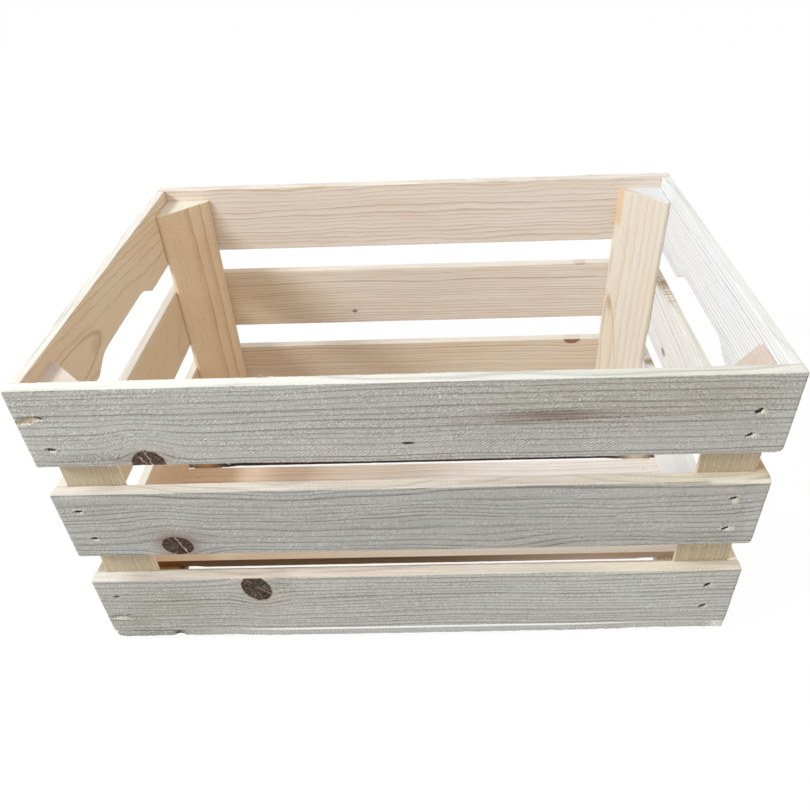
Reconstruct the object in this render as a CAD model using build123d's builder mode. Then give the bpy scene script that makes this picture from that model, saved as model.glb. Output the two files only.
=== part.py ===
"""A nailed softwood fruit crate, open at the top and made to stack.

Long slats close the front and the back, shorter slats close the ends, and all of them are nailed
to four triangular corner posts. The floor boards lie under the walls. Two battens under the floor
drop inside the rim of the crate below.

Units are millimetres. X runs along the crate, Y from front to back and Z up. The origin is on the
ground, under the middle of the crate.
"""

import os

from build123d import *

# Outline of the walls
crate_length = 500.0
crate_depth = 320.0

# Slats of the front and back walls
slat_height = 66.0
slat_thickness = 9.0
lower_gap = 30.0
upper_gap = 27.0

# Slats and handle boards of the ends
end_thickness = 8.0
handle_board_height = 62.0

# Hand-hold, cut into the lower edge of each handle board
notch_length = 130.0
notch_run = 18.0
notch_depth = 11.0
notch_radius = 31.0

# Corner posts
post_leg_long = 41.0
post_leg_end = 37.0
post_nose = 3.0
post_recess = 11.0

# Floor boards
floor_thickness = 8.0
edge_board_width = 61.0
inner_board_width = 54.5
inner_board_count = 3

# Battens under the floor
batten_width = 25.0
batten_thickness = 10.0
batten_clearance = 2.5

# Rounding of the long arrises
arris_radius = 0.6

# Nails
nail_diameter = 1.8
nail_head_diameter = 3.6
nail_head_thickness = 0.8
nail_point = 3.0
nail_sink = 1.5
nail_fit = 0.05
wall_nail_length = 25.0
floor_nail_length = 25.0
post_nail_length = 28.0
board_nail_length = 14.0

# Places of the nails, measured from the edges of the piece that they hold
long_nail_inset_left = 14.0
long_nail_inset_right = 23.0
end_nail_inset = 16.0
end_nail_stagger = 8.0
floor_nail_margin = 14.0
post_nail_inset = 12.0
bottom_nail_low = 20.0
bottom_nail_high = 20.0
middle_nail_low = 19.0
middle_nail_high = 18.0
top_nail_low = 15.0
top_nail_high = 27.0

# Heights of the layers
floor_base = batten_thickness
wall_base = floor_base + floor_thickness
middle_base = wall_base + slat_height + lower_gap
top_base = middle_base + slat_height + upper_gap
rim = top_base + slat_height
post_top = rim - post_recess

# Half sizes of the outline and of the inside
half_length = crate_length / 2
half_depth = crate_depth / 2
inner_half_length = half_length - end_thickness
inner_half_depth = half_depth - slat_thickness

# Middle of each batten
batten_x = inner_half_length - batten_clearance - batten_width / 2

# Lower edge of each row of slats, and how far its nails are from its lower and upper edges
rows = {
    "bottom": (wall_base, bottom_nail_low, bottom_nail_high),
    "middle": (middle_base, middle_nail_low, middle_nail_high),
    "top": (top_base, top_nail_low, top_nail_high),
}
sides_x = {"left": -1, "right": 1}
sides_y = {"front": -1, "back": 1}
from_top = (Align.CENTER, Align.CENTER, Align.MAX)

os.makedirs("parts", exist_ok=True)


def keep(builder, label):
    """Name a finished piece and write it."""
    builder.part.label = label
    export_step(builder.part, f"parts/{label}.step")


def nail_heights(row):
    """Heights of the two nails at each end of a slat of the front or back wall."""
    base, low, high = rows[row]
    return base + low, base + slat_height - high


def long_stations(row, side):
    """Where the nails of one long slat go in. Each plane faces out of the wood."""
    sign = sides_y[side]
    nail_xs = (-half_length + long_nail_inset_left, half_length - long_nail_inset_right)
    return [
        Plane((x, sign * half_depth, z), x_dir=(1, 0, 0), z_dir=(0, sign, 0))
        for x in nail_xs
        for z in nail_heights(row)
    ]


def end_stations(row, side):
    """Where the nails of one end slat go in, a little above the nails that they would meet."""
    sign = sides_x[side]
    nail_y = inner_half_depth - end_nail_inset
    return [
        Plane((sign * half_length, y, z + end_nail_stagger), x_dir=(0, 1, 0), z_dir=(sign, 0, 0))
        for y in (-nail_y, nail_y)
        for z in nail_heights(row)
    ]


def floor_boards():
    """Names, middles and widths of the floor boards, from the front to the back."""
    bare = crate_depth - 2 * edge_board_width - inner_board_count * inner_board_width
    gap = bare / (inner_board_count + 1)
    boards = [("front_edge_board", -half_depth + edge_board_width / 2, edge_board_width)]
    first = -half_depth + edge_board_width + gap + inner_board_width / 2
    for index in range(inner_board_count):
        middle = first + index * (inner_board_width + gap)
        boards.append((f"inner_board_{index + 1}", middle, inner_board_width))
    boards.append(("back_edge_board", half_depth - edge_board_width / 2, edge_board_width))
    return boards


def floor_stations(middle, width):
    """Where one floor board is nailed, from below, to the end slats above it."""
    reach = width / 2 - floor_nail_margin
    nail_x = half_length - end_thickness / 2
    return [
        Plane((x, middle + y, floor_base), x_dir=(1, 0, 0), z_dir=(0, 0, -1))
        for x in (-nail_x, nail_x)
        for y in (-reach, reach)
    ]


def board_stations(middle, width):
    """Where one inner floor board is nailed, from above, to the battens."""
    reach = width / 2 - floor_nail_margin
    return [
        Plane((x, middle + y, wall_base), x_dir=(1, 0, 0), z_dir=(0, 0, 1))
        for x in (-batten_x, batten_x)
        for y in (-reach, reach)
    ]


def post_stations():
    """Where the battens are nailed, from below, through the edge boards into the posts."""
    nail_y = inner_half_depth - post_nail_inset
    return [
        Plane((x, y, 0), x_dir=(1, 0, 0), z_dir=(0, 0, -1))
        for x in (-batten_x, batten_x)
        for y in (-nail_y, nail_y)
    ]


def drill(stations, length):
    """Cut the holes of sunk nails into the piece that is being built."""
    with Locations(*stations):
        Cylinder(
            nail_head_diameter / 2 + nail_fit,
            nail_sink + nail_head_thickness,
            align=from_top,
            mode=Mode.SUBTRACT,
        )
        Cylinder(
            nail_diameter / 2 + nail_fit,
            nail_sink + length + nail_fit,
            align=from_top,
            mode=Mode.SUBTRACT,
        )


def sunk_nail(length):
    """One nail. Its head lies under the surface that the plane of its station marks."""
    head_under = -nail_sink - nail_head_thickness
    tip = -nail_sink - length
    with BuildPart() as nail:
        with BuildSketch(Plane.XZ):
            with BuildLine():
                Polyline(
                    (0, -nail_sink),
                    (nail_head_diameter / 2, -nail_sink),
                    (nail_head_diameter / 2, head_under),
                    (nail_diameter / 2, head_under),
                    (nail_diameter / 2, tip + nail_point),
                    (0, tip),
                    close=True,
                )
            make_face()
        revolve(axis=Axis.Z)
    return nail.part


def drive(label, drives):
    """A group of nails. Each entry of drives has the stations and the nails' length."""
    patterns = [(sunk_nail(length), stations) for stations, length in drives]
    with BuildPart() as nails:
        for nail, stations in patterns:
            with Locations(*stations):
                add(nail)
    keep(nails, label)


# Front and back walls: three slats each, over the ends of the end slats
for side, sign in sides_y.items():
    for row, (base, _, _) in rows.items():
        with BuildPart() as slat:
            with BuildSketch(Plane.XY.offset(base)):
                with Locations((0, sign * (half_depth - slat_thickness / 2))):
                    Rectangle(crate_length, slat_thickness)
            extrude(amount=slat_height)
            fillet(slat.edges().filter_by(Axis.X), radius=arris_radius)
            drill(long_stations(row, side), wall_nail_length)
        keep(slat, f"{side}_{row}_slat")

# Ends: two plain slats each, between the long slats
for side, sign in sides_x.items():
    for row in ("bottom", "middle"):
        with BuildPart() as slat:
            with BuildSketch(Plane.XY.offset(rows[row][0])):
                with Locations((sign * (half_length - end_thickness / 2), 0)):
                    Rectangle(end_thickness, 2 * inner_half_depth)
            extrude(amount=slat_height)
            fillet(slat.edges().filter_by(Axis.Y), radius=arris_radius)
            drill(end_stations(row, side), wall_nail_length)
            if row == "bottom":
                for _, middle, width in floor_boards():
                    drill(floor_stations(middle, width), floor_nail_length)
        keep(slat, f"{side}_{row}_slat")

# Handle boards: the notch leaves room for the fingers above the middle slat
for side, sign in sides_x.items():
    handle_low = rim - handle_board_height
    with BuildPart() as board:
        with BuildSketch(Plane.YZ.offset(sign * inner_half_length)) as outline:
            with BuildLine():
                Polyline(
                    (-inner_half_depth, handle_low),
                    (-notch_length / 2, handle_low),
                    (-notch_length / 2 + notch_run, handle_low + notch_depth),
                    (notch_length / 2 - notch_run, handle_low + notch_depth),
                    (notch_length / 2, handle_low),
                    (inner_half_depth, handle_low),
                    (inner_half_depth, rim),
                    (-inner_half_depth, rim),
                    close=True,
                )
            make_face()
            fillet(outline.vertices().group_by(Axis.Y)[1], radius=notch_radius)
        extrude(amount=sign * end_thickness)
        fillet(board.edges().filter_by(Axis.Y).group_by(Axis.Z)[-1], radius=arris_radius)
        drill(end_stations("top", side), wall_nail_length)
    keep(board, f"{side}_handle_board")

# Corner posts: right-angled triangles with blunt noses, on the floor boards
for side_y, sign_y in sides_y.items():
    for side_x, sign_x in sides_x.items():
        corner_x = sign_x * inner_half_length
        corner_y = sign_y * inner_half_depth
        with BuildPart() as post:
            with BuildSketch(Plane.XY.offset(wall_base)):
                with BuildLine():
                    Polyline(
                        (corner_x, corner_y),
                        (corner_x - sign_x * post_leg_long, corner_y),
                        (corner_x - sign_x * post_leg_long, corner_y - sign_y * post_nose),
                        (corner_x - sign_x * post_nose, corner_y - sign_y * post_leg_end),
                        (corner_x, corner_y - sign_y * post_leg_end),
                        close=True,
                    )
                make_face()
            extrude(amount=post_top - wall_base)
            for row in rows:
                drill(long_stations(row, side_y), wall_nail_length)
                drill(end_stations(row, side_x), wall_nail_length)
            drill(post_stations(), post_nail_length)
        keep(post, f"{side_y}_{side_x}_post")

# Floor boards: an edge board under each long wall, and the inner boards between them
for name, middle, width in floor_boards():
    with BuildPart() as floor_board:
        with BuildSketch(Plane.XY.offset(floor_base)):
            with Locations((0, middle)):
                Rectangle(crate_length, width)
        extrude(amount=floor_thickness)
        fillet(floor_board.edges().filter_by(Axis.X), radius=arris_radius)
        drill(floor_stations(middle, width), floor_nail_length)
        if name.startswith("inner"):
            drill(board_stations(middle, width), board_nail_length)
        else:
            drill(post_stations(), post_nail_length)
    keep(floor_board, name)

# Battens: they drop inside the rim of the crate below
for side, sign in sides_x.items():
    with BuildPart() as batten:
        with BuildSketch():
            with Locations((sign * batten_x, 0)):
                Rectangle(batten_width, 2 * (inner_half_depth - batten_clearance))
        extrude(amount=batten_thickness)
        fillet(batten.edges().filter_by(Axis.Y), radius=arris_radius)
        drill(post_stations(), post_nail_length)
        for name, middle, width in floor_boards():
            if name.startswith("inner"):
                drill(board_stations(middle, width), board_nail_length)
    keep(batten, f"{side}_batten")

# Nails, in one group for each wall, for the floor and for the battens
for side in sides_y:
    drive(f"{side}_wall_nails", [(long_stations(row, side), wall_nail_length) for row in rows])
for side in sides_x:
    drive(f"{side}_end_nails", [(end_stations(row, side), wall_nail_length) for row in rows])
drive(
    "floor_nails",
    [(floor_stations(middle, width), floor_nail_length) for _, middle, width in floor_boards()],
)
inner_boards = [board for board in floor_boards() if board[0].startswith("inner")]
drive(
    "batten_nails",
    [(post_stations(), post_nail_length)]
    + [(board_stations(middle, width), board_nail_length) for _, middle, width in inner_boards],
)
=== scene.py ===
# %% [markdown]
# # A nailed fruit crate of rough softwood
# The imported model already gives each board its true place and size. This lesson dresses those
# boards: sawn arrises, torn nail holes, splinters, and wood grain that is worked out by nodes.
# The frame is loaded first, because every later cell asks it where a board is.

# %% Load the frame
import math

import bmesh
import bpy
import numpy as np
from mathutils import Matrix, Vector


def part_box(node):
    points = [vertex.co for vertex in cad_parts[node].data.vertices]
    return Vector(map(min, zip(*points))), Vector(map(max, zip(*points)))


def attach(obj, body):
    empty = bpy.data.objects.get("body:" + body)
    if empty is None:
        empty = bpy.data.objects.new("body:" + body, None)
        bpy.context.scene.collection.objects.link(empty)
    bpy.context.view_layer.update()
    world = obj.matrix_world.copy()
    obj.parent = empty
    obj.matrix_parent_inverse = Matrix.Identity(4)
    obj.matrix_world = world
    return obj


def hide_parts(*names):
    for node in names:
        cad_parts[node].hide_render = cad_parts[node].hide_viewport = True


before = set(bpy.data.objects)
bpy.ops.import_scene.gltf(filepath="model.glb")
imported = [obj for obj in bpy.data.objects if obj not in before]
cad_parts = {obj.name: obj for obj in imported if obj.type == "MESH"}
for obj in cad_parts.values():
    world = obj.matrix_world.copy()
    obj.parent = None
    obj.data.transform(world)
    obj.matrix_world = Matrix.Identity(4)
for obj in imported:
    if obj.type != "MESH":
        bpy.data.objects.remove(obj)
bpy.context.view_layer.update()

MM = 0.001


def show(thing):
    """Link an object to the scene, and hand it back."""
    bpy.context.scene.collection.objects.link(thing)
    return thing


print("boards and nails in the frame:", len(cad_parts))

# %% [markdown]
# ## Sums on sockets
# A wood shader is mostly arithmetic: a distance from the heart of the log, the part of it that is
# left over after whole rings, and so on. Placing Math nodes one by one hides that arithmetic, so
# this small class wraps an output socket and lets Python's own signs add the nodes. The same
# class serves the geometry trees, since they use the same Math nodes.


# %% A socket that can be added, multiplied and bent
class Wire:
    """One output socket in a node tree. Arithmetic on it adds Math nodes to the tree."""

    def __init__(self, tree, socket=None):
        self.tree = tree
        self.socket = socket

    def make(self, kind, settings=None, values=None, out=0):
        """Add any node: its settings first, then the values or links of its sockets."""
        node = self.tree.nodes.new(kind)
        for name, value in (settings or {}).items():
            if name == "stops":
                fill_ramp(node.color_ramp, value)
            else:
                setattr(node, name, value)
        for key, value in (values or {}).items():
            if isinstance(value, (Wire, list)):
                for wire in value if isinstance(value, list) else [value]:
                    wire.into(node, key)
            else:
                node.inputs[key].default_value = value
        return Wire(self.tree, node.outputs[out])

    def math(self, operation, *others):
        """One Math node with this socket as its first value."""
        return self.make("ShaderNodeMath", {"operation": operation}, dict(enumerate((self, *others))))

    def vector(self, operation, other=None, out="Vector"):
        """One Vector Math node with this socket as its first vector."""
        values = {0: self} if other is None else {0: self, 1: other}
        return self.make("ShaderNodeVectorMath", {"operation": operation}, values, out)

    def scaled(self, amount):
        """This vector times one number or value."""
        return self.make("ShaderNodeVectorMath", {"operation": "SCALE"}, {0: self, "Scale": amount})

    def combine(self, x=0.0, y=0.0, z=0.0):
        """A vector from three numbers or values."""
        return self.make("ShaderNodeCombineXYZ", None, {0: x, 1: y, 2: z})

    def into(self, node, name):
        """Link this socket to an input of a node that is already there."""
        self.tree.links.new(self.socket, node.inputs[name])

    def parts(self):
        """The three parts of this vector."""
        node = self.tree.nodes.new("ShaderNodeSeparateXYZ")
        self.into(node, 0)
        return [Wire(self.tree, socket) for socket in node.outputs]

    def toward(self, other, share, blend="MIX"):
        """This colour mixed with another one by a share from 0 to 1."""
        settings = {"data_type": "RGBA", "blend_type": blend}
        return self.make("ShaderNodeMix", settings, {0: share, 6: self, 7: other}, 2)

    def ease(self, start, end):
        """0 before start and 1 after end, with a smooth step between them."""
        settings = {"interpolation_type": "SMOOTHSTEP"}
        return self.make("ShaderNodeMapRange", settings, {0: self, 1: start, 2: end})

    def __add__(self, other):
        return self.math("ADD", other)

    def __mul__(self, other):
        return self.math("MULTIPLY", other)

    def __sub__(self, other):
        return self.math("SUBTRACT", other)

    def __rsub__(self, other):
        return self.make("ShaderNodeMath", {"operation": "SUBTRACT"}, {0: other, 1: self})

    def __truediv__(self, other):
        return self.math("DIVIDE", other)

    def __pow__(self, other):
        return self.math("POWER", other)

    def __neg__(self):
        return self.math("MULTIPLY", -1.0)

    __radd__ = __add__
    __rmul__ = __mul__


def fill_ramp(ramp, stops):
    """Set a colour ramp from pairs of place and grey level."""
    ramp.elements.remove(ramp.elements[-1])
    for index, (place, level) in enumerate(stops):
        element = ramp.elements.new(place) if index else ramp.elements[0]
        element.position = place
        element.color = (level, level, level, 1.0)


def tone(red, green, blue):
    """A colour as a screen shows it, from 0 to 255, made ready for a shader."""
    shares = [value / 255 for value in (red, green, blue)]
    linear = [s / 12.92 if s <= 0.04045 else ((s + 0.055) / 1.055) ** 2.4 for s in shares]
    return (*linear, 1.0)


print("sums on sockets are ready")

# %% [markdown]
# ## The camera
# The photograph looks down on the crate from the front, a little right of its middle. The camera
# was found by fitting a pinhole to the corners of the slats. Its lens centre isn't the middle of
# the picture, so a small shift takes the place of a crop.

# %% Camera
PICTURE = 810
FOCUS_PX = 714.389
CENTRE_PX = (429.236, 345.661)
camera_place = Vector((26.294, -506.128, 545.644)) * MM
yaw, pitch, roll = (math.radians(angle) for angle in (-1.32458, 35.33282, -2.19455))

forward = Vector((math.sin(yaw) * math.cos(pitch), math.cos(yaw) * math.cos(pitch), -math.sin(pitch)))
level_right = forward.cross(Vector((0, 0, 1))).normalized()
level_up = level_right.cross(forward)
right = math.cos(roll) * level_right + math.sin(roll) * level_up
up = math.cos(roll) * level_up - math.sin(roll) * level_right

lens = bpy.data.cameras.new("photo_camera")
lens.sensor_width = 36.0
lens.lens = FOCUS_PX / PICTURE * lens.sensor_width
lens.shift_x = (PICTURE / 2 - CENTRE_PX[0]) / PICTURE
lens.shift_y = (CENTRE_PX[1] - PICTURE / 2) / PICTURE
camera = show(bpy.data.objects.new("photo_camera", lens))
turn = Matrix((right, up, -forward)).transposed().to_4x4()
camera.matrix_world = Matrix.Translation(camera_place) @ turn
bpy.context.scene.camera = camera
print("lens", round(lens.lens, 2), "mm, shift", round(lens.shift_x, 4), round(lens.shift_y, 4))

# %% [markdown]
# ## One sawn board, as a rule
# All the slats, the floor boards and the battens are the same thing in different sizes: a plank
# from a saw, with arrises that are nearly sharp and worn more in some places than in others. A
# geometry tree says that rule once. It starts from a box of grid lines, draws the lines together
# towards the arrises, rounds every arris by a radius that wanders along it, and bows the plank by
# a fraction of a millimetre. The sizes are the tree's named inputs. Three helpers come first: one
# opens a tree, one closes it, and one runs it and keeps the plain mesh.

# %% Helpers for geometry trees
NUMBER, COUNT, FINISH = "NodeSocketFloat", "NodeSocketInt", "NodeSocketMaterial"


def new_tree(name, inputs, takes_points=False):
    """An empty geometry tree with named inputs. Returns it, its inputs as wires and its output node."""
    tree = bpy.data.node_groups.new(name, "GeometryNodeTree")
    if takes_points:
        tree.interface.new_socket("Points", in_out="INPUT", socket_type="NodeSocketGeometry")
    for label, kind in inputs.items():
        tree.interface.new_socket(label, in_out="INPUT", socket_type=kind)
    tree.interface.new_socket("Geometry", in_out="OUTPUT", socket_type="NodeSocketGeometry")
    entry = tree.nodes.new("NodeGroupInput")
    wires = {s.name: Wire(tree, s) for s in entry.outputs if s.name}
    return tree, wires, tree.nodes.new("NodeGroupOutput")


def finish_tree(shape, material, exit_node):
    """Realize what was made, give it its material, and hand it out."""
    solid = shape.make("GeometryNodeRealizeInstances", None, {0: shape})
    smooth = solid.make("GeometryNodeSetShadeSmooth", None, {0: solid})
    coated = smooth.make("GeometryNodeSetMaterial", None, {0: smooth, "Material": material})
    coated.into(exit_node, 0)


def grown(name, tree, inputs, points=None):
    """Run a tree on an object, with inputs set by socket identifier, and keep the plain mesh."""
    points = points or bpy.data.meshes.new(name + "_seedling")
    base = show(bpy.data.objects.new(name + "_seedling", points))
    modifier = base.modifiers.new("grow", "NODES")
    modifier.node_group = tree
    for item in tree.interface.items_tree:
        if item.in_out == "INPUT" and item.name in inputs:
            modifier[item.identifier] = inputs[item.name]
    ready = base.evaluated_get(bpy.context.evaluated_depsgraph_get())
    mesh = bpy.data.meshes.new_from_object(ready)
    base.modifiers.remove(modifier)
    bpy.data.objects.remove(base)
    mesh.name = name
    return mesh


print("helpers for trees are ready")

# %% [markdown]
# The wear of an arris has two sizes of noise, patches of about a centimetre and nicks of a few
# millimetres, and only their high parts wear. The bow is noise much longer than the board is wide.

# %% The tree of a sawn board
BOARD_INPUTS = {
    **dict.fromkeys(("Length", "Width", "Thickness", "Arris", "Wear", "Bow", "Seed"), NUMBER),
    **dict.fromkeys(("Lines Along", "Lines Across", "Lines Through"), COUNT),
    "Wood": FINISH,
}
WORN_PATCH, WORN_NICK = 11 * MM, 3.2 * MM
BOW_ACROSS, BOW_THROUGH = 210 * MM, 170 * MM


def wander(place, size, seed, detail=1.0):
    """Smooth noise, about -1 to 1, whose lumps are as long as size."""
    moved = place.vector("ADD", place.combine(seed, seed * 0.7, seed * 1.3))
    values = {"Vector": moved, "Scale": 1 / size, "Detail": detail}
    return (moved.make("ShaderNodeTexNoise", None, values) - 0.5) * 4.0


def build_board_tree():
    tree, given, exit_node = new_tree("sawn_board", BOARD_INPUTS)
    size = given["Length"].combine(given["Length"], given["Width"], given["Thickness"])
    ways = zip("XYZ", ("Along", "Across", "Through"))
    lines = {f"Vertices {axis}": given[f"Lines {way}"] for axis, way in ways}
    block = size.make("GeometryNodeMeshCube", None, {"Size": size, **lines})
    along, across, through = size.make("GeometryNodeInputPosition").parts()
    across = across * (2 - across.math("ABSOLUTE") * 2 / given["Width"])
    through = through * (2 - through.math("ABSOLUTE") * 2 / given["Thickness"])
    drawn = along.combine(along, across, through)

    patches = wander(drawn, WORN_PATCH, given["Seed"])
    nicks = wander(drawn, WORN_NICK, given["Seed"] + 5.0, 2.0)
    worn = patches.math("MAXIMUM", 0.0) * 0.6 + nicks.math("MAXIMUM", 0.0) * 0.8
    radius = given["Arris"] + given["Wear"] * worn
    inset = size.scaled(0.5).vector("SUBTRACT", radius)
    core = drawn.vector("MINIMUM", inset).vector("MAXIMUM", inset.scaled(-1.0))
    out_way = drawn.vector("SUBTRACT", core).vector("NORMALIZE")
    rounded = core.vector("ADD", out_way.scaled(radius))

    line = along.combine(along)
    bend_across = wander(line, BOW_ACROSS, given["Seed"] + 11.0) * given["Bow"]
    bend_through = wander(line, BOW_THROUGH, given["Seed"] + 23.0) * given["Bow"]
    bend = along.combine(y=bend_across, z=bend_through)
    bowed = rounded.vector("ADD", bend)
    shape = block.make("GeometryNodeSetPosition", None, {"Geometry": block, "Position": bowed})
    finish_tree(shape, given["Wood"], exit_node)
    return tree


board_tree = build_board_tree()
print("nodes in the board tree:", len(board_tree.nodes))

# %% [markdown]
# ## Wood that is solid all through
# Softwood is a stack of cones: each year adds a pale layer that ends in a thin dark one. A board is
# a slice of that stack, so the pattern on its faces, edges and ends comes from one question: how far
# is this point from the heart of the log? The heart's place decides the look. Far to one side, it
# gives straight parallel lines. Close behind the face and leaning, it gives flames. Knots push
# the rings aside. An image would have to be drawn for every face, and would not meet at the arrises.

# %% Directions of the grain, noise and spots
GRAIN_AXES = {
    "front": (Vector((1, 0, 0)), Vector((0, 0, 1)), Vector((0, -1, 0))),
    "back": (Vector((-1, 0, 0)), Vector((0, 0, 1)), Vector((0, 1, 0))),
    "left": (Vector((0, -1, 0)), Vector((0, 0, 1)), Vector((-1, 0, 0))),
    "right": (Vector((0, 1, 0)), Vector((0, 0, 1)), Vector((1, 0, 0))),
    "floor": (Vector((1, 0, 0)), Vector((0, 1, 0)), Vector((0, 0, 1))),
    "batten": (Vector((0, 1, 0)), Vector((-1, 0, 0)), Vector((0, 0, 1))),
    "post": (Vector((0, 0, 1)), Vector((1, 0, 0)), Vector((0, 1, 0))),
}


def grain_turn(way):
    """The rotation from grain space, along and across and through the board, to the room."""
    return Matrix(GRAIN_AXES[way]).transposed()


def noise(vector, stretch, detail=2.0, rough=0.5, out="Fac"):
    """Noise whose lumps are stretch millimetres long in each direction of the grain."""
    shaped = vector.vector("MULTIPLY", tuple(1 / size for size in stretch))
    values = {"Vector": shaped, "Scale": 1.0, "Detail": detail, "Roughness": rough}
    return shaped.make("ShaderNodeTexNoise", None, values, out)


def ellipse(grain, spot, reach, turn=0.0):
    """Distance from a spot on the board, in shares of reach, and the place in those shares."""
    values = {
        "Vector": grain,
        "Location": (spot[0], spot[1], 0.0),
        "Rotation": (0.0, 0.0, math.radians(turn)),
        "Scale": (reach[0], reach[1], 1e6),
    }
    place = grain.make("ShaderNodeMapping", {"vector_type": "TEXTURE"}, values)
    return place.vector("LENGTH", out="Value"), place


def grain_space(start, way, centre):
    """Millimetres along, across and through the board, from its middle."""
    room = start.make("ShaderNodeTexCoord", out="Object")
    turned = grain_turn(way).transposed()
    shift = -(turned @ Vector(centre)) / MM
    values = {"Vector": room, "Location": shift, "Rotation": turned.to_euler(), "Scale": (1 / MM,) * 3}
    return room.make("ShaderNodeMapping", {"vector_type": "POINT"}, values)


def face_shares(start, way):
    """How far a point lies on the outer face, on the inner one, on a long edge and on an end."""
    normal = start.make("ShaderNodeNewGeometry", out="Normal")
    axes = (tuple(axis) for axis in GRAIN_AXES[way])
    along, across, through = (normal.vector("DOT_PRODUCT", axis, "Value") for axis in axes)
    outer, inner = through.ease(0.5, 0.8), (-through).ease(0.5, 0.8)
    return outer, inner, across.math("ABSOLUTE").ease(0.5, 0.85), along.math("ABSOLUTE").ease(0.55, 0.85)


def plain(start, colour):
    """A wire that carries one colour."""
    wire = start.make("ShaderNodeRGB")
    wire.socket.default_value = colour
    return wire


print("directions of the grain:", len(GRAIN_AXES))

# %% [markdown]
# A knot is a branch that the saw cut through. It has rings of its own, a dark rim, and cracks that
# opened as it dried. It is painted over the board, in shares of its own size.

# %% Knots
KNOT_BROWN = tone(112, 89, 76)
KNOT_DARK = tone(42, 29, 23)
KNOT_PALE = tone(214, 190, 174)
# The same near-black is also the painted shade in nail pits and in the posts' creases.
CRACK_AND_SHADE_DARK = tone(36, 28, 22)
KNOT_HALO = tone(186, 170, 154)


def knot_colour(colour, grain, knot, distance, place, shown):
    """Paint one knot: rings of its own, a dark rim, streaks out from its middle and pale cracks."""
    fine = noise(grain, (1.3, 1.3, 1.3), 3.0, 0.65)
    lumps = noise(grain, (3.4, 3.4, 3.4), 1.0)
    inside = (1 - (distance + (fine - 0.5) * 0.2 + (lumps - 0.5) * 0.12).ease(0.88, 1.0)) * shown
    part_u, part_v, _ = place.parts()
    rings = (distance * 19.0 + lumps * 6.0).math("SINE") * 0.5 + 0.5
    spokes = noise(place.vector("NORMALIZE"), (0.12, 0.12, 1.0), 2.0, 0.6).ease(0.42, 0.66)
    body = plain(grain, knot.get("brown", KNOT_BROWN))
    body = body.toward(KNOT_DARK, rings * 0.75 * fine.ease(0.2, 0.55))
    body = body.toward(KNOT_PALE, spokes * fine.ease(0.42, 0.7) * 0.4)
    body = body.toward(KNOT_DARK, distance.ease(0.72, 0.98) * knot.get("rim", 0.7))
    for angle, width, offset, begin, end in knot.get("cracks", ()):
        lean = math.radians(angle)
        run = part_u * math.cos(lean) + part_v * math.sin(lean)
        off = part_u * math.sin(lean) - part_v * math.cos(lean) - offset
        off = (off + (fine - 0.5) * 0.2 + (lumps - 0.5) * 0.22).math("ABSOLUTE")
        span = run.ease(begin, begin + 0.25) * (1 - run.ease(end - 0.25, end))
        body = body.toward(CRACK_AND_SHADE_DARK, (1 - off.ease(width * 0.9, width * 2.0)) * span * 0.7)
        light = span * fine.ease(0.3, 0.5) * knot.get("crack_light", 1.0)
        body = body.toward(KNOT_PALE, (1 - off.ease(width * 0.4, width)) * light)
    halo = (1 - distance.ease(0.9, 1.7)) * shown * knot.get("halo", 0.3)
    colour = colour.toward(knot.get("halo_colour", KNOT_HALO), halo)
    return colour.toward(body, inside * knot.get("depth", 1.0)), inside


print("knots are ready")

# %% [markdown]
# Two patterns make the board itself. The rings come from the distance to the heart, which is bent by
# the knots. The saw's teeth left slanted strokes over them, strong in patches and weak between.

# %% Growth rings and saw strokes
SAW_SLANT = -38


def growth_rings(grain, own, look, edge):
    """The dark late wood of every year, 0 to 1, and the knots that bend it."""
    along, across, through = grain.parts()
    sway = noise(own, look.get("sway_size", (150, 60, 60)), 1.0, 0.5, "Color").parts()
    across = across + (sway[0] - 0.5) * look.get("sway", 9.0)
    through = through + (sway[1] - 0.5) * look.get("sway", 9.0)
    knots = []
    for knot in look.get("knots", ()):
        distance, place = ellipse(grain, knot["spot"], knot["reach"], knot.get("turn", 0.0))
        knots.append((knot, distance, place))
        pull = (-(distance * distance) / knot.get("spread", 3.0)).math("EXPONENT") * (1 - edge * 0.9)
        across = across - (across - knot["spot"][1]) * pull * knot.get("push", 0.8)
    heart_across, heart_through = look["heart"]
    lean_across, lean_through = look.get("lean", (0.0, 0.0))
    off_across = across - (along * lean_across + heart_across)
    off_through = through - (along * lean_through + heart_through)
    radius = (off_across * off_across + off_through * off_through) ** 0.5
    radius = radius + (noise(own, (13, 9, 9), 1.0) - 0.5) * look.get("ripple", 0.0)
    values = {"W": radius / (look["ring"] * 4.0) + look["seed"] * 9.0, "Scale": 1.0}
    slow = radius.make("ShaderNodeTexNoise", {"noise_dimensions": "1D"}, values)
    rings = radius / look["ring"] + slow * look.get("uneven", 2.2) + look.get("phase", 0.0)
    whole = rings.math("FLOOR")
    year = whole.make("ShaderNodeTexWhiteNoise", {"noise_dimensions": "1D"}, {"W": whole})
    left_over = rings.math("FRACT")
    late = left_over.make("ShaderNodeValToRGB", {"stops": look["profile"]}, {0: left_over})
    breaks = noise(own, (45, 2.5, 2.5), 2.0, 0.55).ease(0.3, 0.55) * 0.45 + 0.55
    steady = look.get("steady", 0.45)
    return late * (year * (1 - steady) + steady) * breaks, knots


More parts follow.
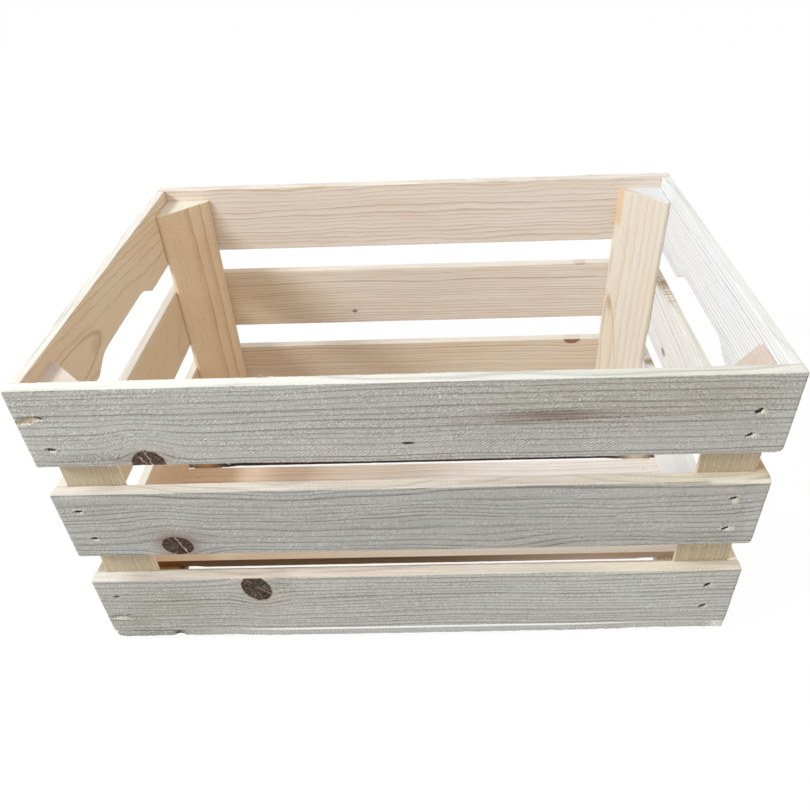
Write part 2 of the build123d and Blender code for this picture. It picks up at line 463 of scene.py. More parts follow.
def saw_marks(grain, own, sawn, look):
    """Slanted strokes that a coarse saw leaves, near 0.5 on average, and where they are strong."""
    values = {"Vector": own, "Rotation": (0, 0, math.radians(SAW_SLANT))}
    slant = own.make("ShaderNodeMapping", {"vector_type": "POINT"}, values)
    strokes = noise(slant, (1.6, 0.42, 0.9), 1.0, 0.5)
    _, rise, _ = slant.parts()
    wave = (rise * 3.1 + noise(own, (14, 9, 9), 1.0) * 5.0).math("SINE")
    strokes = strokes + wave * noise(own, (11, 5, 5), 1.0).ease(0.5, 0.68) * 0.08
    for spot, reach in look.get("hatch", ()):
        distance, _ = ellipse(grain, spot, reach)
        strokes = strokes + wave * (-(distance * distance)).math("EXPONENT") * 0.12
    patches = noise(own, (22, 8, 8), 2.0, 0.55).ease(0.34, 0.62) * 0.6 + 0.4
    return strokes, patches * sawn


print("rings and strokes are ready")

# %% [markdown]
# The wood of one board puts these together: a ground colour that differs between faces and edges,
# stains, ring lines, fibres, saw strokes, the sawn ends, knots, and last the torn places and the
# painted shade of pits and creases, which the mesh stores at its points. Some edge colours and
# stains are painted light and shade, as their looks say. The same lines and strokes give the bump.

# %% The wood of one board
EDGE_PALE = tone(241, 237, 227)
TORN_PALE = tone(236, 231, 216)


def blank_material(name):
    """A material with nodes. Returns it, its tree and its main shader."""
    material = bpy.data.materials.new(name)
    material.use_nodes = True
    return material, material.node_tree, material.node_tree.nodes["Principled BSDF"]


def ring_wood(name, way, centre, look):
    """A material for one board, cut from its own place in a log."""
    material, tree, shader = blank_material(name)
    start = Wire(tree)
    grain = grain_space(start, way, centre)
    seed = look["seed"]
    own = grain.vector("ADD", (seed * 731.0, seed * 173.0, seed * 97.0))
    outer, inner, edge, end = face_shares(start, way)
    late, knots = growth_rings(grain, own, look, edge)
    sawn = outer * look["sawn_out"] + inner * look["sawn_in"] + edge * look.get("sawn_edge", 0.25)
    strokes, rough_share = saw_marks(grain, own, sawn, look)

    fibre = noise(own, (38, 0.7, 0.7), 3.0, 0.6)
    cloud = noise(own, (120, 30, 30), 2.0, 0.5)
    colour = plain(start, look["early"]).toward(look["tint"], cloud.ease(0.4, 0.68) * 0.8)
    for side, share in (("over", outer), ("under", inner)):
        if side in look:
            colour = colour.toward(look[side], share * (0.75 + cloud * 0.25))
    streaks = noise(own, (60, 1.5, 1.5), 2.0, 0.6)
    # Edges get their own colour: on most boards paler, partly painted light from above; on the floor
    # boards near-black, painted shade.
    on_edge = edge * look.get("edge_share", 0.7)
    colour = colour.toward(look.get("edge", EDGE_PALE), on_edge)
    colour = colour.toward(look.get("edge_dark", look["late"]), on_edge * streaks.ease(0.5, 0.7) * 0.5)
    colour = colour.toward(EDGE_PALE, on_edge * streaks.ease(0.5, 0.32) * look.get("edge_light", 0.5))
    for stain in look.get("stains", ()):
        distance, _ = ellipse(grain, stain["spot"], stain["reach"], stain.get("turn", 0.0))
        distance = ((distance - 1) * 18.0) if stain.get("outline") else distance
        share = (-(distance * distance) * 1.6).math("EXPONENT")
        if "on_edge" in stain:
            share = share * (edge if stain["on_edge"] else 1 - edge)
        if stain.get("stripes"):
            share = share * noise(own, (stain["stripes"], 60, 60), 1.0).ease(0.42, 0.56)
        colour = colour.toward(stain["colour"], share * stain["share"])
        rough_share = rough_share * (1 - share * stain.get("smooth", 0.0))
    line_share = 1 - edge * (1 - look.get("edge_lines", 0.35))
    line_share = line_share * (1 - inner * look.get("calm_under", 0.0))
    colour = colour.toward(look["late"], late * line_share * look.get("late_share", 0.9))
    bare = 1 - edge * look.get("edge_calm", 0.0)
    colour = colour.toward(look["late"], fibre.ease(0.52, 0.8) * bare * 0.34)
    colour = colour.toward(look["pale"], fibre.ease(0.5, 0.24) * bare * 0.4)
    rough_share = rough_share * bare
    colour = colour.toward(look["pale"], strokes.ease(0.51, 0.65) * rough_share * (1 - late) * 0.75)
    colour = colour.toward(look["late"], strokes.ease(0.5, 0.36) * rough_share * 0.4)

    kerf = noise(own, (2000, 1.1, 14), 2.0, 0.6).ease(0.4, 0.65)
    colour = colour.toward(look["end"], end * (kerf * 0.35 + look.get("end_share", 0.45)))
    knotty = []
    for knot, distance, place in knots:
        shown = 1 - edge * (1 - knot.get("on_edge", 0.0))
        colour, inside = knot_colour(colour, grain, knot, distance, place, shown)
        knotty.append(inside)
    torn = start.make("ShaderNodeAttribute", {"attribute_name": "torn"}, None, "Fac")
    # Painted shade: near-black where nail pits and the posts' creases would lie in shade.
    hole = start.make("ShaderNodeAttribute", {"attribute_name": "hole"}, None, "Fac")
    colour = colour.toward(look.get("torn", TORN_PALE), torn * (fibre * 0.5 + 0.6))
    colour = colour.toward(CRACK_AND_SHADE_DARK, hole.ease(0.12, 0.6))
    colour.into(shader, "Base Color")

    rough = 0.86 - late * 0.12
    rough.into(shader, "Roughness")
    shader.inputs["Specular IOR Level"].default_value = 0.25
    height = late * 0.06 + (fibre - 0.5) * 0.09 + (strokes - 0.5) * rough_share * 0.2
    height = height + kerf * end * 0.25
    for inside in knotty:
        height = height + inside * noise(grain, (1.2, 1.2, 1.2), 3.0, 0.6) * 0.3
    values = {"Height": height, "Distance": MM, "Strength": 0.8}
    height.make("ShaderNodeBump", None, values, "Normal").into(shader, "Normal")
    return material


print("ring wood is ready")

# %% [markdown]
# ## What happens to a board after the saw
# Some marks belong to one board only: a hand-hold cut in the lower edge, a nail that tore the
# fibres as it went in, a corner that was knocked off. They are made on the finished plank, point
# by point, in millimetres along, across and through it. The faces near a nail are divided first,
# so that its pit is real. Two values go with the points: one is the painted shade that darkens a pit,
# and torn is for fibres that were pulled open.

# %% Marks on a board
PIT_SKIN = 1.4
PIT_WALL, TORN_FADE = (0.55, 1.05), (0.5, 1.15)
LIP_PLACE, LIP_WIDTH = 1.25, 0.28


def points_of(mesh):
    """The points of a mesh, in millimetres."""
    flat = np.empty(len(mesh.vertices) * 3, np.float32)
    mesh.vertices.foreach_get("co", flat)
    return flat.reshape(-1, 3).astype(float) / MM


def put_points(mesh, points):
    """Move the points of a mesh, given in millimetres."""
    mesh.vertices.foreach_set("co", (points * MM).astype(np.float32).ravel())
    mesh.update()


def put_value(mesh, name, values):
    """Store one number at each point, for the material."""
    layer = mesh.attributes.new(name, "FLOAT", "POINT")
    layer.data.foreach_set("value", np.clip(values, 0, 1).astype(np.float32))


def soft_step(values, start, end):
    """0 before start and 1 after end, with a smooth step between them."""
    share = np.clip((values - start) / (end - start), 0, 1)
    return share * share * (3 - 2 * share)


def divide_near(mesh, pits, half_thickness):
    """Divide the faces round each pit, so that its walls have points of their own."""
    work = bmesh.new()
    work.from_mesh(mesh)
    for pit in pits:
        place = Vector((pit["spot"][0], pit["spot"][1], pit["side"] * half_thickness)) * MM
        room = (pit["long"] + 2.5) * MM
        near = [
            face
            for face in work.faces
            if face.normal.z * pit["side"] > 0.7
            and abs(face.calc_center_median().x - place.x) < room
            and abs(face.calc_center_median().y - place.y) < room
        ]
        edges = list({edge for face in near for edge in face.edges})
        bmesh.ops.subdivide_edges(work, edges=edges, cuts=pit.get("cuts", 5), use_grid_fill=True)
    work.to_mesh(mesh)
    work.free()


def dig(points, pits, half_thickness, chance):
    """Press the pits in. Returns the painted shade of each pit and how torn each point is."""
    hole = np.zeros(len(points))
    torn = np.zeros(len(points))
    for pit in pits:
        flush = points[:, 2] * pit["side"] > half_thickness - PIT_SKIN
        lean = math.radians(pit.get("turn", 0.0))
        east = points[:, 0] - pit["spot"][0]
        north = points[:, 1] - pit["spot"][1]
        run = east * math.cos(lean) + north * math.sin(lean)
        rise = north * math.cos(lean) - east * math.sin(lean)
        waves = 0.12 * np.sin(3.1 * run + chance.uniform(0, 6))
        waves += 0.08 * np.sin(7.3 * rise + chance.uniform(0, 6))
        far = np.sqrt((run / pit["long"]) ** 2 + (rise / pit["wide"]) ** 2) + waves
        sunk = (1 - soft_step(far, *PIT_WALL)) * flush
        lifted = np.exp(-(((far - LIP_PLACE) / LIP_WIDTH) ** 2)) * flush * pit.get("lift", 0.35)
        points[:, 2] += pit["side"] * (lifted - sunk * pit["depth"])
        # The sunk part of each pit gets painted shade, scaled by the pit's share dark.
        hole = np.maximum(hole, sunk * pit.get("dark", 1.0))
        torn_east, torn_north = pit.get("torn_off", (1.6, 0.4))
        torn_long, torn_wide = pit.get("torn_reach", (3.4, 2.0))
        open_far = np.sqrt(((east - torn_east) / torn_long) ** 2 + ((north - torn_north) / torn_wide) ** 2)
        open_far += waves
        torn = np.maximum(torn, (1 - soft_step(open_far, *TORN_FADE)) * flush * pit.get("torn", 0.8))
    return hole, torn


def knock_corner(points, halves, axes, ways, radius):
    """Round one corner of the board, in the plane of two of its axes."""
    first, second = axes
    east = points[:, first] * ways[0] - (halves[first] - radius)
    north = points[:, second] * ways[1] - (halves[second] - radius)
    inside = (east > 0) & (north > 0)
    reach = np.hypot(east[inside], north[inside])
    share = np.maximum(east[inside], north[inside]) / np.maximum(reach, 1e-6)
    points[inside, first] = ways[0] * (halves[first] - radius + east[inside] * share)
    points[inside, second] = ways[1] * (halves[second] - radius + north[inside] * share)


print("marks are ready")

# %% [markdown]
# ## The boards and their looks
# Each board has its own log, so no two show the same figure. The front slats are fuzzy from the
# saw and nearly grey, a grey that is partly weathering and partly painted shade, with knots near
# their left ends. The inside of the back and of the left end is planed and warmer, and the right end
# is almost white with fine straight lines. The left end's warmth is partly painted shade, and the
# right end's white partly painted light. First come the kinds of wood: the grey of one year's ring
# from pale to dark, and the colours of each kind.

# %% Kinds of wood
LINES = [(0, 0), (0.4, 0.03), (0.68, 0.2), (0.85, 1), (0.94, 0.8), (1, 0)]
FINE = [(0, 0), (0.7, 0.06), (0.9, 1), (0.96, 0.8), (1, 0)]
FLAME = [(0, 0), (0.5, 0.12), (0.86, 0.62), (0.96, 1), (1, 0)]
BANDS = [(0, 0.03), (0.35, 0.08), (0.66, 0.42), (0.88, 1), (0.96, 0.7), (1, 0.03)]


def stain(x, y, long, high, colour, share, **more):
    """A soft patch of colour at a spot of the board, in millimetres along and across it."""
    return {"spot": (x, y), "reach": (long, high), "colour": tone(*colour), "share": share, **more}


def knot(x, y, long, high, **more):
    """A knot at a spot of the board, with its half sizes along and across it."""
    return {"spot": (x, y), "reach": (long, high), **more}


# The sawn faces' grey is partly weathering and partly painted shade; the paler edges are partly painted
# light from above.
SAWN = dict(
    early=tone(183, 180, 174), tint=tone(176, 172, 164), late=tone(116, 108, 100),
    under=tone(230, 218, 200), calm_under=0.6, pale=tone(232, 229, 221), end=tone(222, 204, 172),
    edge=tone(219, 206, 190), edge_dark=tone(206, 172, 156), edge_share=0.85, profile=LINES,
    sawn_out=1, sawn_in=0.35,
)
PLANED = dict(
    early=tone(237, 225, 214), tint=tone(233, 217, 201), late=tone(182, 150, 120),
    pale=tone(246, 237, 225), end=tone(230, 212, 182), profile=BANDS, sawn_out=0.8, sawn_in=0.22,
)
# The right end's near-white is partly painted light, for the window's light on it.
WHITE = dict(
    PLANED, early=tone(242, 243, 246), tint=tone(240, 239, 238), late=tone(158, 158, 160),
    over=tone(238, 229, 214), pale=tone(249, 248, 246), edge=tone(244, 242, 236), profile=LINES,
)
TAN = dict(
    PLANED, early=tone(242, 216, 182), tint=tone(237, 207, 168), late=tone(200, 162, 120),
    pale=tone(246, 226, 198), edge=tone(242, 238, 229), edge_share=0.85, profile=LINES,
)
# The left end's warmer tan is partly painted shade, for the warm shade it stands in.
LEFT = dict(
    TAN, early=tone(235, 214, 187), tint=tone(230, 205, 172), over=tone(222, 202, 176),
    edge=tone(226, 222, 214), edge_dark=tone(198, 193, 188),
)
POST = dict(
    TAN, end=tone(243, 238, 228), end_share=0.7, profile=FLAME, edge_share=0, sawn_out=0.2,
    sawn_in=0.5,
)
# Partly painted shade: the darker, yellower colour of the faces that lie against the front slats stands
# partly for the shade in the gaps.
GAP_POST = dict(
    POST, early=tone(236, 218, 196), tint=tone(228, 208, 182), under=tone(181, 165, 137),
    late=tone(138, 116, 86), ring=2.6, late_share=0.4, sawn_in=0.6,
)
# Painted light and shade on the floor boards: the near-black edge colours stand for the shade on their
# edges in the gaps, the white patch over the right half for light that falls there, and the pale patches
# on the edges over the battens for lit batten tops.
FLOOR = dict(
    PLANED, early=tone(242, 206, 160), tint=tone(238, 196, 146), late=tone(200, 158, 112),
    late_share=0.7, edge=tone(80, 62, 46), edge_dark=tone(54, 40, 29), edge_lines=0, edge_light=0,
    edge_share=1, edge_calm=0.85,
    stains=[
        stain(140, 0, 420, 90, (241, 241, 242), 1, on_edge=False),
        stain(-227, 0, 17, 90, (255, 232, 190), 1, on_edge=True),
        stain(225, 0, 18, 90, (255, 238, 218), 1, on_edge=True),
    ],
)
print("kinds of wood are ready")

# %% [markdown]
# The front slats fill most of the picture. Their heart lies far off, so their lines are nearly
# straight and bend only round the knots. Stains take up what the rings can't give: the brown streak
# on the right of the top slat, the halos of the knots and the paler right ends.

# %% Front slats
STREAK_DARK = (98, 76, 66)
FRONT_LOOKS = {
    "front_top_slat": dict(
        SAWN, seed=1, late=tone(104, 97, 90), heart=(-170, -70), ring=4.4, edge_lines=0.5,
        edge=tone(250, 247, 239), edge_dark=tone(214, 209, 200),
        hatch=[((45, -20), (45, 7)), ((150, -22), (40, 6)), ((-60, -24), (40, 5))],
        knots=[
            knot(
                -173.2, -33, 12.3, 14.2,
                cracks=[(-58, 0.045, 0.05, -0.8, 0.1), (-76, 0.05, -0.16, -1, 0.4)],
                crack_light=0.6, brown=tone(80, 62, 52), spread=2.5, push=0.9,
            ),
            knot(1.9, -17.8, 4.5, 1.1, push=0.3, halo=0.2, brown=tone(60, 50, 44)),
        ],
        stains=[
            stain(150, 18, 130, 18, (172, 166, 149), 0.6),
            stain(-173, -31, 24, 13, (154, 137, 128), 0.8),
            stain(-229, 31.6, 2.2, 0.7, STREAK_DARK, 0.8, turn=50, on_edge=False),
            stain(-218, 31.8, 2.4, 0.7, STREAK_DARK, 0.8, turn=35, on_edge=False),
            stain(-175, 31.8, 1.8, 0.8, STREAK_DARK, 0.8, turn=50, on_edge=False),
            stain(-133, 31.8, 1.8, 0.7, STREAK_DARK, 0.7, turn=110, on_edge=False),
            stain(-208, -26, 42, 6, (130, 123, 115), 0.65),
            stain(246, -6, 10, 34, (202, 201, 194), 0.6),
            stain(98, 3.2, 58, 5.2, (136, 117, 106), 1, turn=1, smooth=0.9),
            stain(90, 6.4, 40, 1, STREAK_DARK, 1, turn=1),
            stain(112, 0, 90, 1.1, STREAK_DARK, 0.9, turn=1.4),
            stain(-243, 8.3, 10, 2.4, (206, 168, 118), 1, turn=12),
            stain(-242, 11.4, 9, 0.6, STREAK_DARK, 1, turn=16),
            stain(-243.5, 5.6, 9, 0.7, (236, 226, 208), 1, turn=7),
        ],
    ),
    "front_middle_slat": dict(
        SAWN, seed=2, early=tone(175, 172, 167), tint=tone(168, 164, 159), late=tone(92, 87, 83),
        sawn_out=0.65, heart=(150, -75), ring=4.6, sway=16, sway_size=(120, 40, 40),
        hatch=[((-137, 12), (24, 12)), ((23, -3), (12, 5)), ((80, 20), (9, 9)), ((157, 26), (10, 7))],
        knots=[
            knot(
                -173.8, -22.8, 12.3, 10.3, turn=-12, cracks=[(-64, 0.05, -0.24, -1, 1)],
                crack_light=0.8, brown=tone(68, 45, 37), halo=0.55,
                halo_colour=tone(134, 116, 106), spread=4.2, push=0.9,
            ),
        ],
        stains=[
            stain(175, 6, 90, 40, (187, 184, 176), 0.8),
            stain(150, -24, 60, 7, (164, 161, 158), 0.3),
            stain(-172, -15, 28, 13, (146, 133, 123), 0.65),
            stain(215, 35, 80, 5, (238, 224, 188), 0.7),
            stain(246, -8, 10, 30, (204, 204, 198), 0.6),
            stain(-236, 35, 20, 5, (244, 236, 224), 0.8),
            stain(246, 32.3, 20, 0.6, (132, 102, 72), 0.9, turn=2),
        ],
    ),
    "front_bottom_slat": dict(
        SAWN, seed=3, heart=(-160, -50), ring=4.1, uneven=1.5, steady=0.65, profile=BANDS,
        late=tone(100, 94, 88), late_share=0.85, early=tone(194, 191, 184),
        tint=tone(188, 184, 176), edge=tone(221, 205, 189),
        hatch=[((48, 2), (20, 12)), ((100, -15), (26, 10)), ((-95, -2), (20, 26))],
        knots=[
            knot(
                -124.1, 20.4, 11.9, 16.2, turn=14,
                cracks=[
                    (-50, 0.07, -0.15, -0.2, 1),
                    (-44, 0.05, -0.3, 0.2, 0.95),
                    (120, 0.09, 0.1, 0.3, 0.9),
                ],
                crack_light=0.35, brown=tone(70, 54, 42), spread=2.4, push=0.7,
            ),
        ],
        stains=[
            stain(180, 4, 130, 40, (206, 207, 203), 0.8),
            # Painted light: this pale strip on the top edge's right part lifts it out of the shade of the
            # right post and end.
            stain(190, 35, 120, 5, (243, 231, 204), 0.8),
            stain(-200, 0, 80, 50, (174, 169, 159), 0.9),
            stain(-238, 35, 22, 5, (248, 242, 234), 0.8),
            stain(-106, 23, 12, 12, (148, 138, 122), 0.6),
            stain(-236, -20, 24, 16, (156, 150, 138), 0.5),
            stain(-241, -12, 9, 1.3, (44, 36, 30), 1),
            stain(-243, -18.8, 5, 0.8, (92, 82, 72), 0.7),
        ],
    ),
}
print("front slats:", len(FRONT_LOOKS))

# %% [markdown]
# The planed boards of the back and the ends are seen from inside. The left hand-hold board was cut
# close to the heart, so it shows flames. The right end is pale, partly as painted light, with a few
# brown marks where its slats meet the posts. A warm patch on the back middle slat and the darker back
# bottom slat are painted shade.

# %% Back slats and ends
RED_KNOT = dict(brown=tone(176, 122, 100), halo_colour=tone(220, 186, 160), halo=0.35, push=0.5, rim=0.35)
WALL_LOOKS = {
    "back_top_slat": dict(
        PLANED, seed=4, heart=(-140, 40), ring=4.2, ripple=2.2, sway=15, sway_size=(120, 40, 40),
        late_share=0.75, sawn_in=0.6,
        stains=[stain(150, 5, 100, 60, (225, 211, 197), 0.6)],
        hatch=[((130, 5), (60, 18)), ((-140, -18), (60, 9))],
    ),
    "back_middle_slat": dict(
        PLANED, seed=5, ring=3.2, heart=(-170, 60),
        knots=[
            knot(68.4, -18.5, 2.6, 2, push=0.5, halo=0.5, depth=0.7),
            knot(-171.3, 33.6, 6.5, 2, **RED_KNOT, depth=0.6, on_edge=0.25),
        ],
        stains=[
            # Painted shadow: the warm darker patch at the left is the shadow of the left end on the back
            # wall.
            stain(190, 0, 95, 70, (225, 204, 174), 0.95),
            stain(10, 0, 90, 50, (225, 210, 196), 0.5),
            stain(74, -18.3, 9, 0.7, (150, 122, 98), 0.6),
        ],
    ),
    # Painted shade: its colours are a darker copy of the planed wood, for the shade over the whole slat.
    "back_bottom_slat": dict(
        PLANED, seed=6, early=tone(230, 214, 194), tint=tone(226, 205, 180), ring=3.4,
        heart=(160, 50),
        knots=[knot(-171, 33.5, 9.6, 6.6, **RED_KNOT, cracks=[(88, 0.05, 0, -1, 1)], on_edge=0.1)],
    ),
    "left_bottom_slat": dict(
        LEFT, seed=7, ring=6, heart=(-60, 60), late_share=0.25,
        stains=[stain(146, 34, 14, 8, (152, 139, 124), 0.9)],
    ),
    "left_middle_slat": dict(
        LEFT, early=tone(231, 210, 182), tint=tone(226, 201, 167), edge=tone(212, 206, 198),
        seed=8, ring=4, heart=(-8, 150), lean=(0.05, 0.06), late_share=0.28, profile=FINE,
        stains=[stain(58, 2, 2.2, 9, (172, 130, 92), 0.6, turn=24)],
    ),
    "left_handle_board": dict(
        LEFT, edge=tone(232, 233, 230), edge_dark=tone(150, 148, 146), edge_lines=0.9, seed=9,
        profile=FINE, ring=3, uneven=0, phase=0.33, heart=(-16.5, 76.4), lean=(0.13, 0),
        ripple=1.3, sway=3, sway_size=(60, 45, 45), late=tone(180, 146, 112), late_share=0.6,
        stains=[
            stain(56, -7, 8, 7, (192, 154, 114), 0.5),
            stain(130, -5, 85, 17, (180, 144, 108), 0.55, outline=True),
        ],
    ),
    "right_bottom_slat": dict(
        WHITE, seed=10, ring=4.6, heart=(-140, -60), late_share=0.22,
        stains=[
            stain(106, 34, 10, 7, (150, 124, 78), 1),
            stain(-146, 34, 11, 7, (232, 210, 170), 0.8),
        ],
    ),
    "right_middle_slat": dict(
        WHITE, seed=11, ring=3.8, heart=(90, -50), lean=(0.08, 0), edge=tone(233, 226, 204),
        stains=[
            stain(40, 0, 170, 42, (246, 236, 228), 0.4, on_edge=False),
            stain(92, 34, 26, 6, (166, 124, 64), 1, stripes=1.9),
            stain(108, 34, 9, 7, (140, 112, 64), 1),
            stain(-146, 34, 11, 7, (188, 146, 80), 0.9),
        ],
        knots=[knot(61.7, -18.6, 6.5, 3, push=0.6, brown=tone(146, 140, 140), depth=0.7, rim=0.4)],
    ),
    "right_handle_board": dict(
        WHITE, seed=12, heart=(150, -40), ring=3.1, uneven=1.2, edge=tone(238, 236, 230),
        end=tone(204, 164, 98), end_share=0.7,
        stains=[stain(0, -26, 400, 11, (232, 234, 236), 0.9)],
    ),
}
print("back slats and end boards:", len(WALL_LOOKS))

# %% [markdown]
# The floor shows only in the gaps of the front wall: warm and dark at the left, nearly white at the
# right. That is partly painted: near-black edges for shade, and white patches for light. The posts
# were sawn close to the heart, and their broad faces show flames too.

# %% Floor boards, battens and posts
BASE_LOOKS = {
    "front_edge_board": dict(
        SAWN, seed=13, heart=(-60, 90), ring=3, over=tone(238, 222, 200), sawn_out=0.4,
        sawn_in=0.9, sawn_edge=1, edge=tone(190, 192, 190), edge_share=0.5,
        torn=tone(244, 246, 246),
        # Painted light and shade among these stains: the dark patches at the left and round the chip are
        # painted shadow, and the pale line along the ledge is a painted highlight over pale fibres.
        stains=[
            stain(244, -34, 7, 12, (240, 240, 236), 0.8),
            stain(24, -31, 190, 3, (242, 244, 244), 0.9, on_edge=False),
            stain(-226, -30, 32, 5, (104, 98, 90), 0.9, on_edge=False),
            stain(-220, -30, 60, 12, (138, 138, 128), 0.9, on_edge=True),
            stain(-198.5, -30, 6, 12, (40, 34, 26), 1, on_edge=True, smooth=1),
        ],
    ),
    # Painted light and shade: its nearly white colours and pale edge patches stand for light on the part
    # that shows in the lower gap, its darker edge for shade, and the orange-brown patch at the left for
    # the warm shade there.
    "inner_board_1": dict(
        FLOOR, seed=14, heart=(90, -50), ring=4, early=tone(252, 230, 198),
        tint=tone(250, 222, 184), late=tone(238, 218, 198), late_share=0.5,
        edge=tone(138, 108, 78), edge_dark=tone(98, 76, 54),
        stains=[
            stain(170, 0, 360, 70, (252, 250, 248), 1, on_edge=False),
            stain(-227, 0, 22, 90, (182, 122, 58), 0.9, on_edge=True),
            stain(170, 0, 130, 90, (255, 226, 204), 1, on_edge=True),
            stain(231, 0, 24, 90, (255, 238, 220), 1, on_edge=True),
        ],
    ),
    "inner_board_2": dict(FLOOR, seed=15, heart=(-80, -60), ring=4.4),
    "inner_board_3": dict(FLOOR, seed=16, heart=(10, 60), ring=5, lean=(0.05, 0.08)),
    "back_edge_board": dict(PLANED, seed=17, ring=3.6, heart=(70, 60)),
    # Painted light and shade: the base is brightened for light on the part seen in the gaps, and the
    # near-black patch at its right side is a painted shadow.
    "left_batten": dict(
        PLANED, seed=18, ring=3.6, heart=(40, -40), early=tone(246, 206, 150),
        stains=[
            stain(-95, 4, 12, 16, (166, 118, 62), 0.9),
            stain(-95, -12, 16, 7, (14, 10, 8), 1, smooth=1),
        ],
    ),
    # Painted light: its near-white colour and pale patch stand for light on the part seen in the lower
    # gap, which lies in shade.
    "right_batten": dict(
        PLANED, seed=19, ring=3.6, heart=(-50, 40), early=tone(253, 242, 226),
        stains=[stain(-95, 0, 14, 30, (255, 238, 220), 1)],
    ),
    "front_left_post": dict(GAP_POST, seed=20, heart=(-180, -60), end=tone(224, 208, 199)),
    "front_right_post": dict(GAP_POST, seed=21, heart=(150, -40), end=tone(220, 202, 189)),
    # This post's warmer tan is partly painted shade, for the shadow of the left end on it.
    "back_left_post": dict(
        POST, early=tone(246, 221, 188), tint=tone(241, 212, 174), late=tone(168, 120, 74),
        end=tone(237, 229, 214), seed=22, heart=(-36.7, 18), ring=6.4, uneven=0, phase=0.92,
        ripple=1.5, sway=1.6, sway_size=(90, 60, 60),
    ),
    "back_right_post": dict(
        POST, early=tone(231, 221, 208), tint=tone(230, 213, 192), late=tone(198, 174, 146),
        pale=tone(247, 240, 228), end=tone(236, 238, 240), torn=tone(228, 194, 156), seed=23,
        heart=(-4.2, 41.2), ring=5.6, uneven=0, phase=0.43, ripple=1.5, sway=3,
        sway_size=(100, 60, 60), late_share=0.8,
        stains=[
            stain(-50, -13, 60, 6, (230, 204, 170), 0.4, turn=-4),
            stain(-130, -7, 130, 7, (188, 152, 114), 0.7, turn=-4.4, outline=True),
            stain(-8, -16, 12, 1.8, (190, 142, 96), 0.8, turn=-4),
        ],
    ),
}
LOOKS = {**FRONT_LOOKS, **WALL_LOOKS, **BASE_LOOKS}
print("looks:", len(LOOKS))

# %% [markdown]
# ## Nail holes, as the photograph has them
# The nails were shot in below the surface. On the right they left slanted slits with pale fibres
# beside them, on the left small flat eyes, and two of them split the wood to the end of the slat.
# The other walls are out of sight, so their holes are drawn by chance from the same shapes, at the
# places where the frame has nails.

# %% Places of the holes
# In these shapes, dark is the share of painted shade in the pit; the split has none.
SLIT = dict(
    long=3.2, wide=1.7, turn=34, depth=2.6, side=1, torn_off=(3.2, -0.4), torn_reach=(3.0, 2.4)
)
EYE = dict(long=3.0, wide=1.6, turn=0, depth=2.4, side=1, torn_off=(0.8, -1.6), torn=0.4)
SPLIT = dict(
    long=10.0, wide=2.6, turn=12, depth=1.0, side=1, dark=0.0, torn=0.0, lift=0.1, cuts=3, nail=False
)
FRONT_PITS = {
    "front_top_slat": [
        dict(SLIT, spot=(226.1, 2.8), wide=2.3),
        dict(SLIT, spot=(224.9, -17.5), turn=26),
        dict(SPLIT, spot=(-242.6, 8.4)),
        dict(EYE, spot=(-234.0, 10.8), turn=-32, torn=0.0),
        dict(EYE, spot=(-235.1, -17.2), wide=1.9, long=3.8, turn=-8, dark=0.85),
    ],
    "front_middle_slat": [
        dict(SLIT, spot=(227.3, 15.8), turn=12, torn_off=(1.6, -2.6)),
        dict(SLIT, spot=(227.6, -15.9), turn=30, torn_reach=(4.4, 3.2)),
        dict(EYE, spot=(-236.0, 15.7), long=3.4),
        dict(EYE, spot=(-232.8, -13.2), wide=1.9),
    ],
    "front_bottom_slat": [
        dict(SLIT, spot=(227.6, 14.6), long=3.6, wide=2.2, turn=40, torn=0.5),
        dict(SLIT, spot=(228.5, -12.6), long=3.6, wide=2.1, turn=24, torn=0.5),
        dict(EYE, spot=(-236.6, 12.8), torn=0.1),
        dict(EYE, spot=(-234.0, -11.0), long=2.4, wide=1.0, dark=0.9, torn=0.0),
        dict(
            SPLIT, spot=(-241.0, -13.4), long=7.0, turn=3,
            torn=0.6, torn_off=(0, -2.4), torn_reach=(8.0, 1.5),
        ),
    ],
}
FAINT = dict(long=1.6, wide=1.3, dark=0.12, depth=1.0, torn=0.0)
WALL_NAIL_HEIGHTS = {"bottom": (38.0, 64.0), "middle": (133.0, 162.0), "top": (222.0, 246.0)}
END_STAGGER = 8.0
LONG_NAIL_X = (-236.0, 227.0)
END_NAIL_Y = 135.0
FLOOR_NAIL_MARGIN = 14.0
END_NAIL_X = 246.0
BATTEN_X = 227.0
POST_NAIL_Y = 139.0


def both(distance):
    """The same distance to both sides of the middle."""
    return (-distance, distance)


def chance_pit(chance, spot, side=1):
    """A pit of the common shapes, turned and sized by chance."""
    shape = dict(SLIT if chance.random() < 0.5 else EYE)
    shape.update(spot=spot, side=side, turn=chance.uniform(-10, 50), long=chance.uniform(2.0, 2.8))
    return shape


def hidden_pits(name, centre, half_width, chance):
    """Holes of a board that the photograph doesn't show, in the board's own directions."""
    row = next((key for key in WALL_NAIL_HEIGHTS if key in name), "top")
    heights = WALL_NAIL_HEIGHTS[row]
    centre = centre / MM
    if name.startswith("back_") and name.endswith("slat"):
        return [chance_pit(chance, (-x, z - centre.z)) for x in LONG_NAIL_X for z in heights]
    if name.endswith(("slat", "handle_board")):
        rows = [z + END_STAGGER - centre.z for z in heights]
        return [chance_pit(chance, (y, z)) for y in both(END_NAIL_Y) for z in rows]
    if name.endswith("batten"):
        return [chance_pit(chance, (y, 0.0), -1) for y in both(POST_NAIL_Y)]
    edges = both(half_width - FLOOR_NAIL_MARGIN)
    below = [chance_pit(chance, (x, y), -1) for x in both(END_NAIL_X) for y in edges]
    above = [{**chance_pit(chance, (x, y)), **FAINT} for x in both(BATTEN_X) for y in edges]
    return below + above if name.startswith("inner") else below


print("holes on the front:", sum(len(pits) for pits in FRONT_PITS.values()))

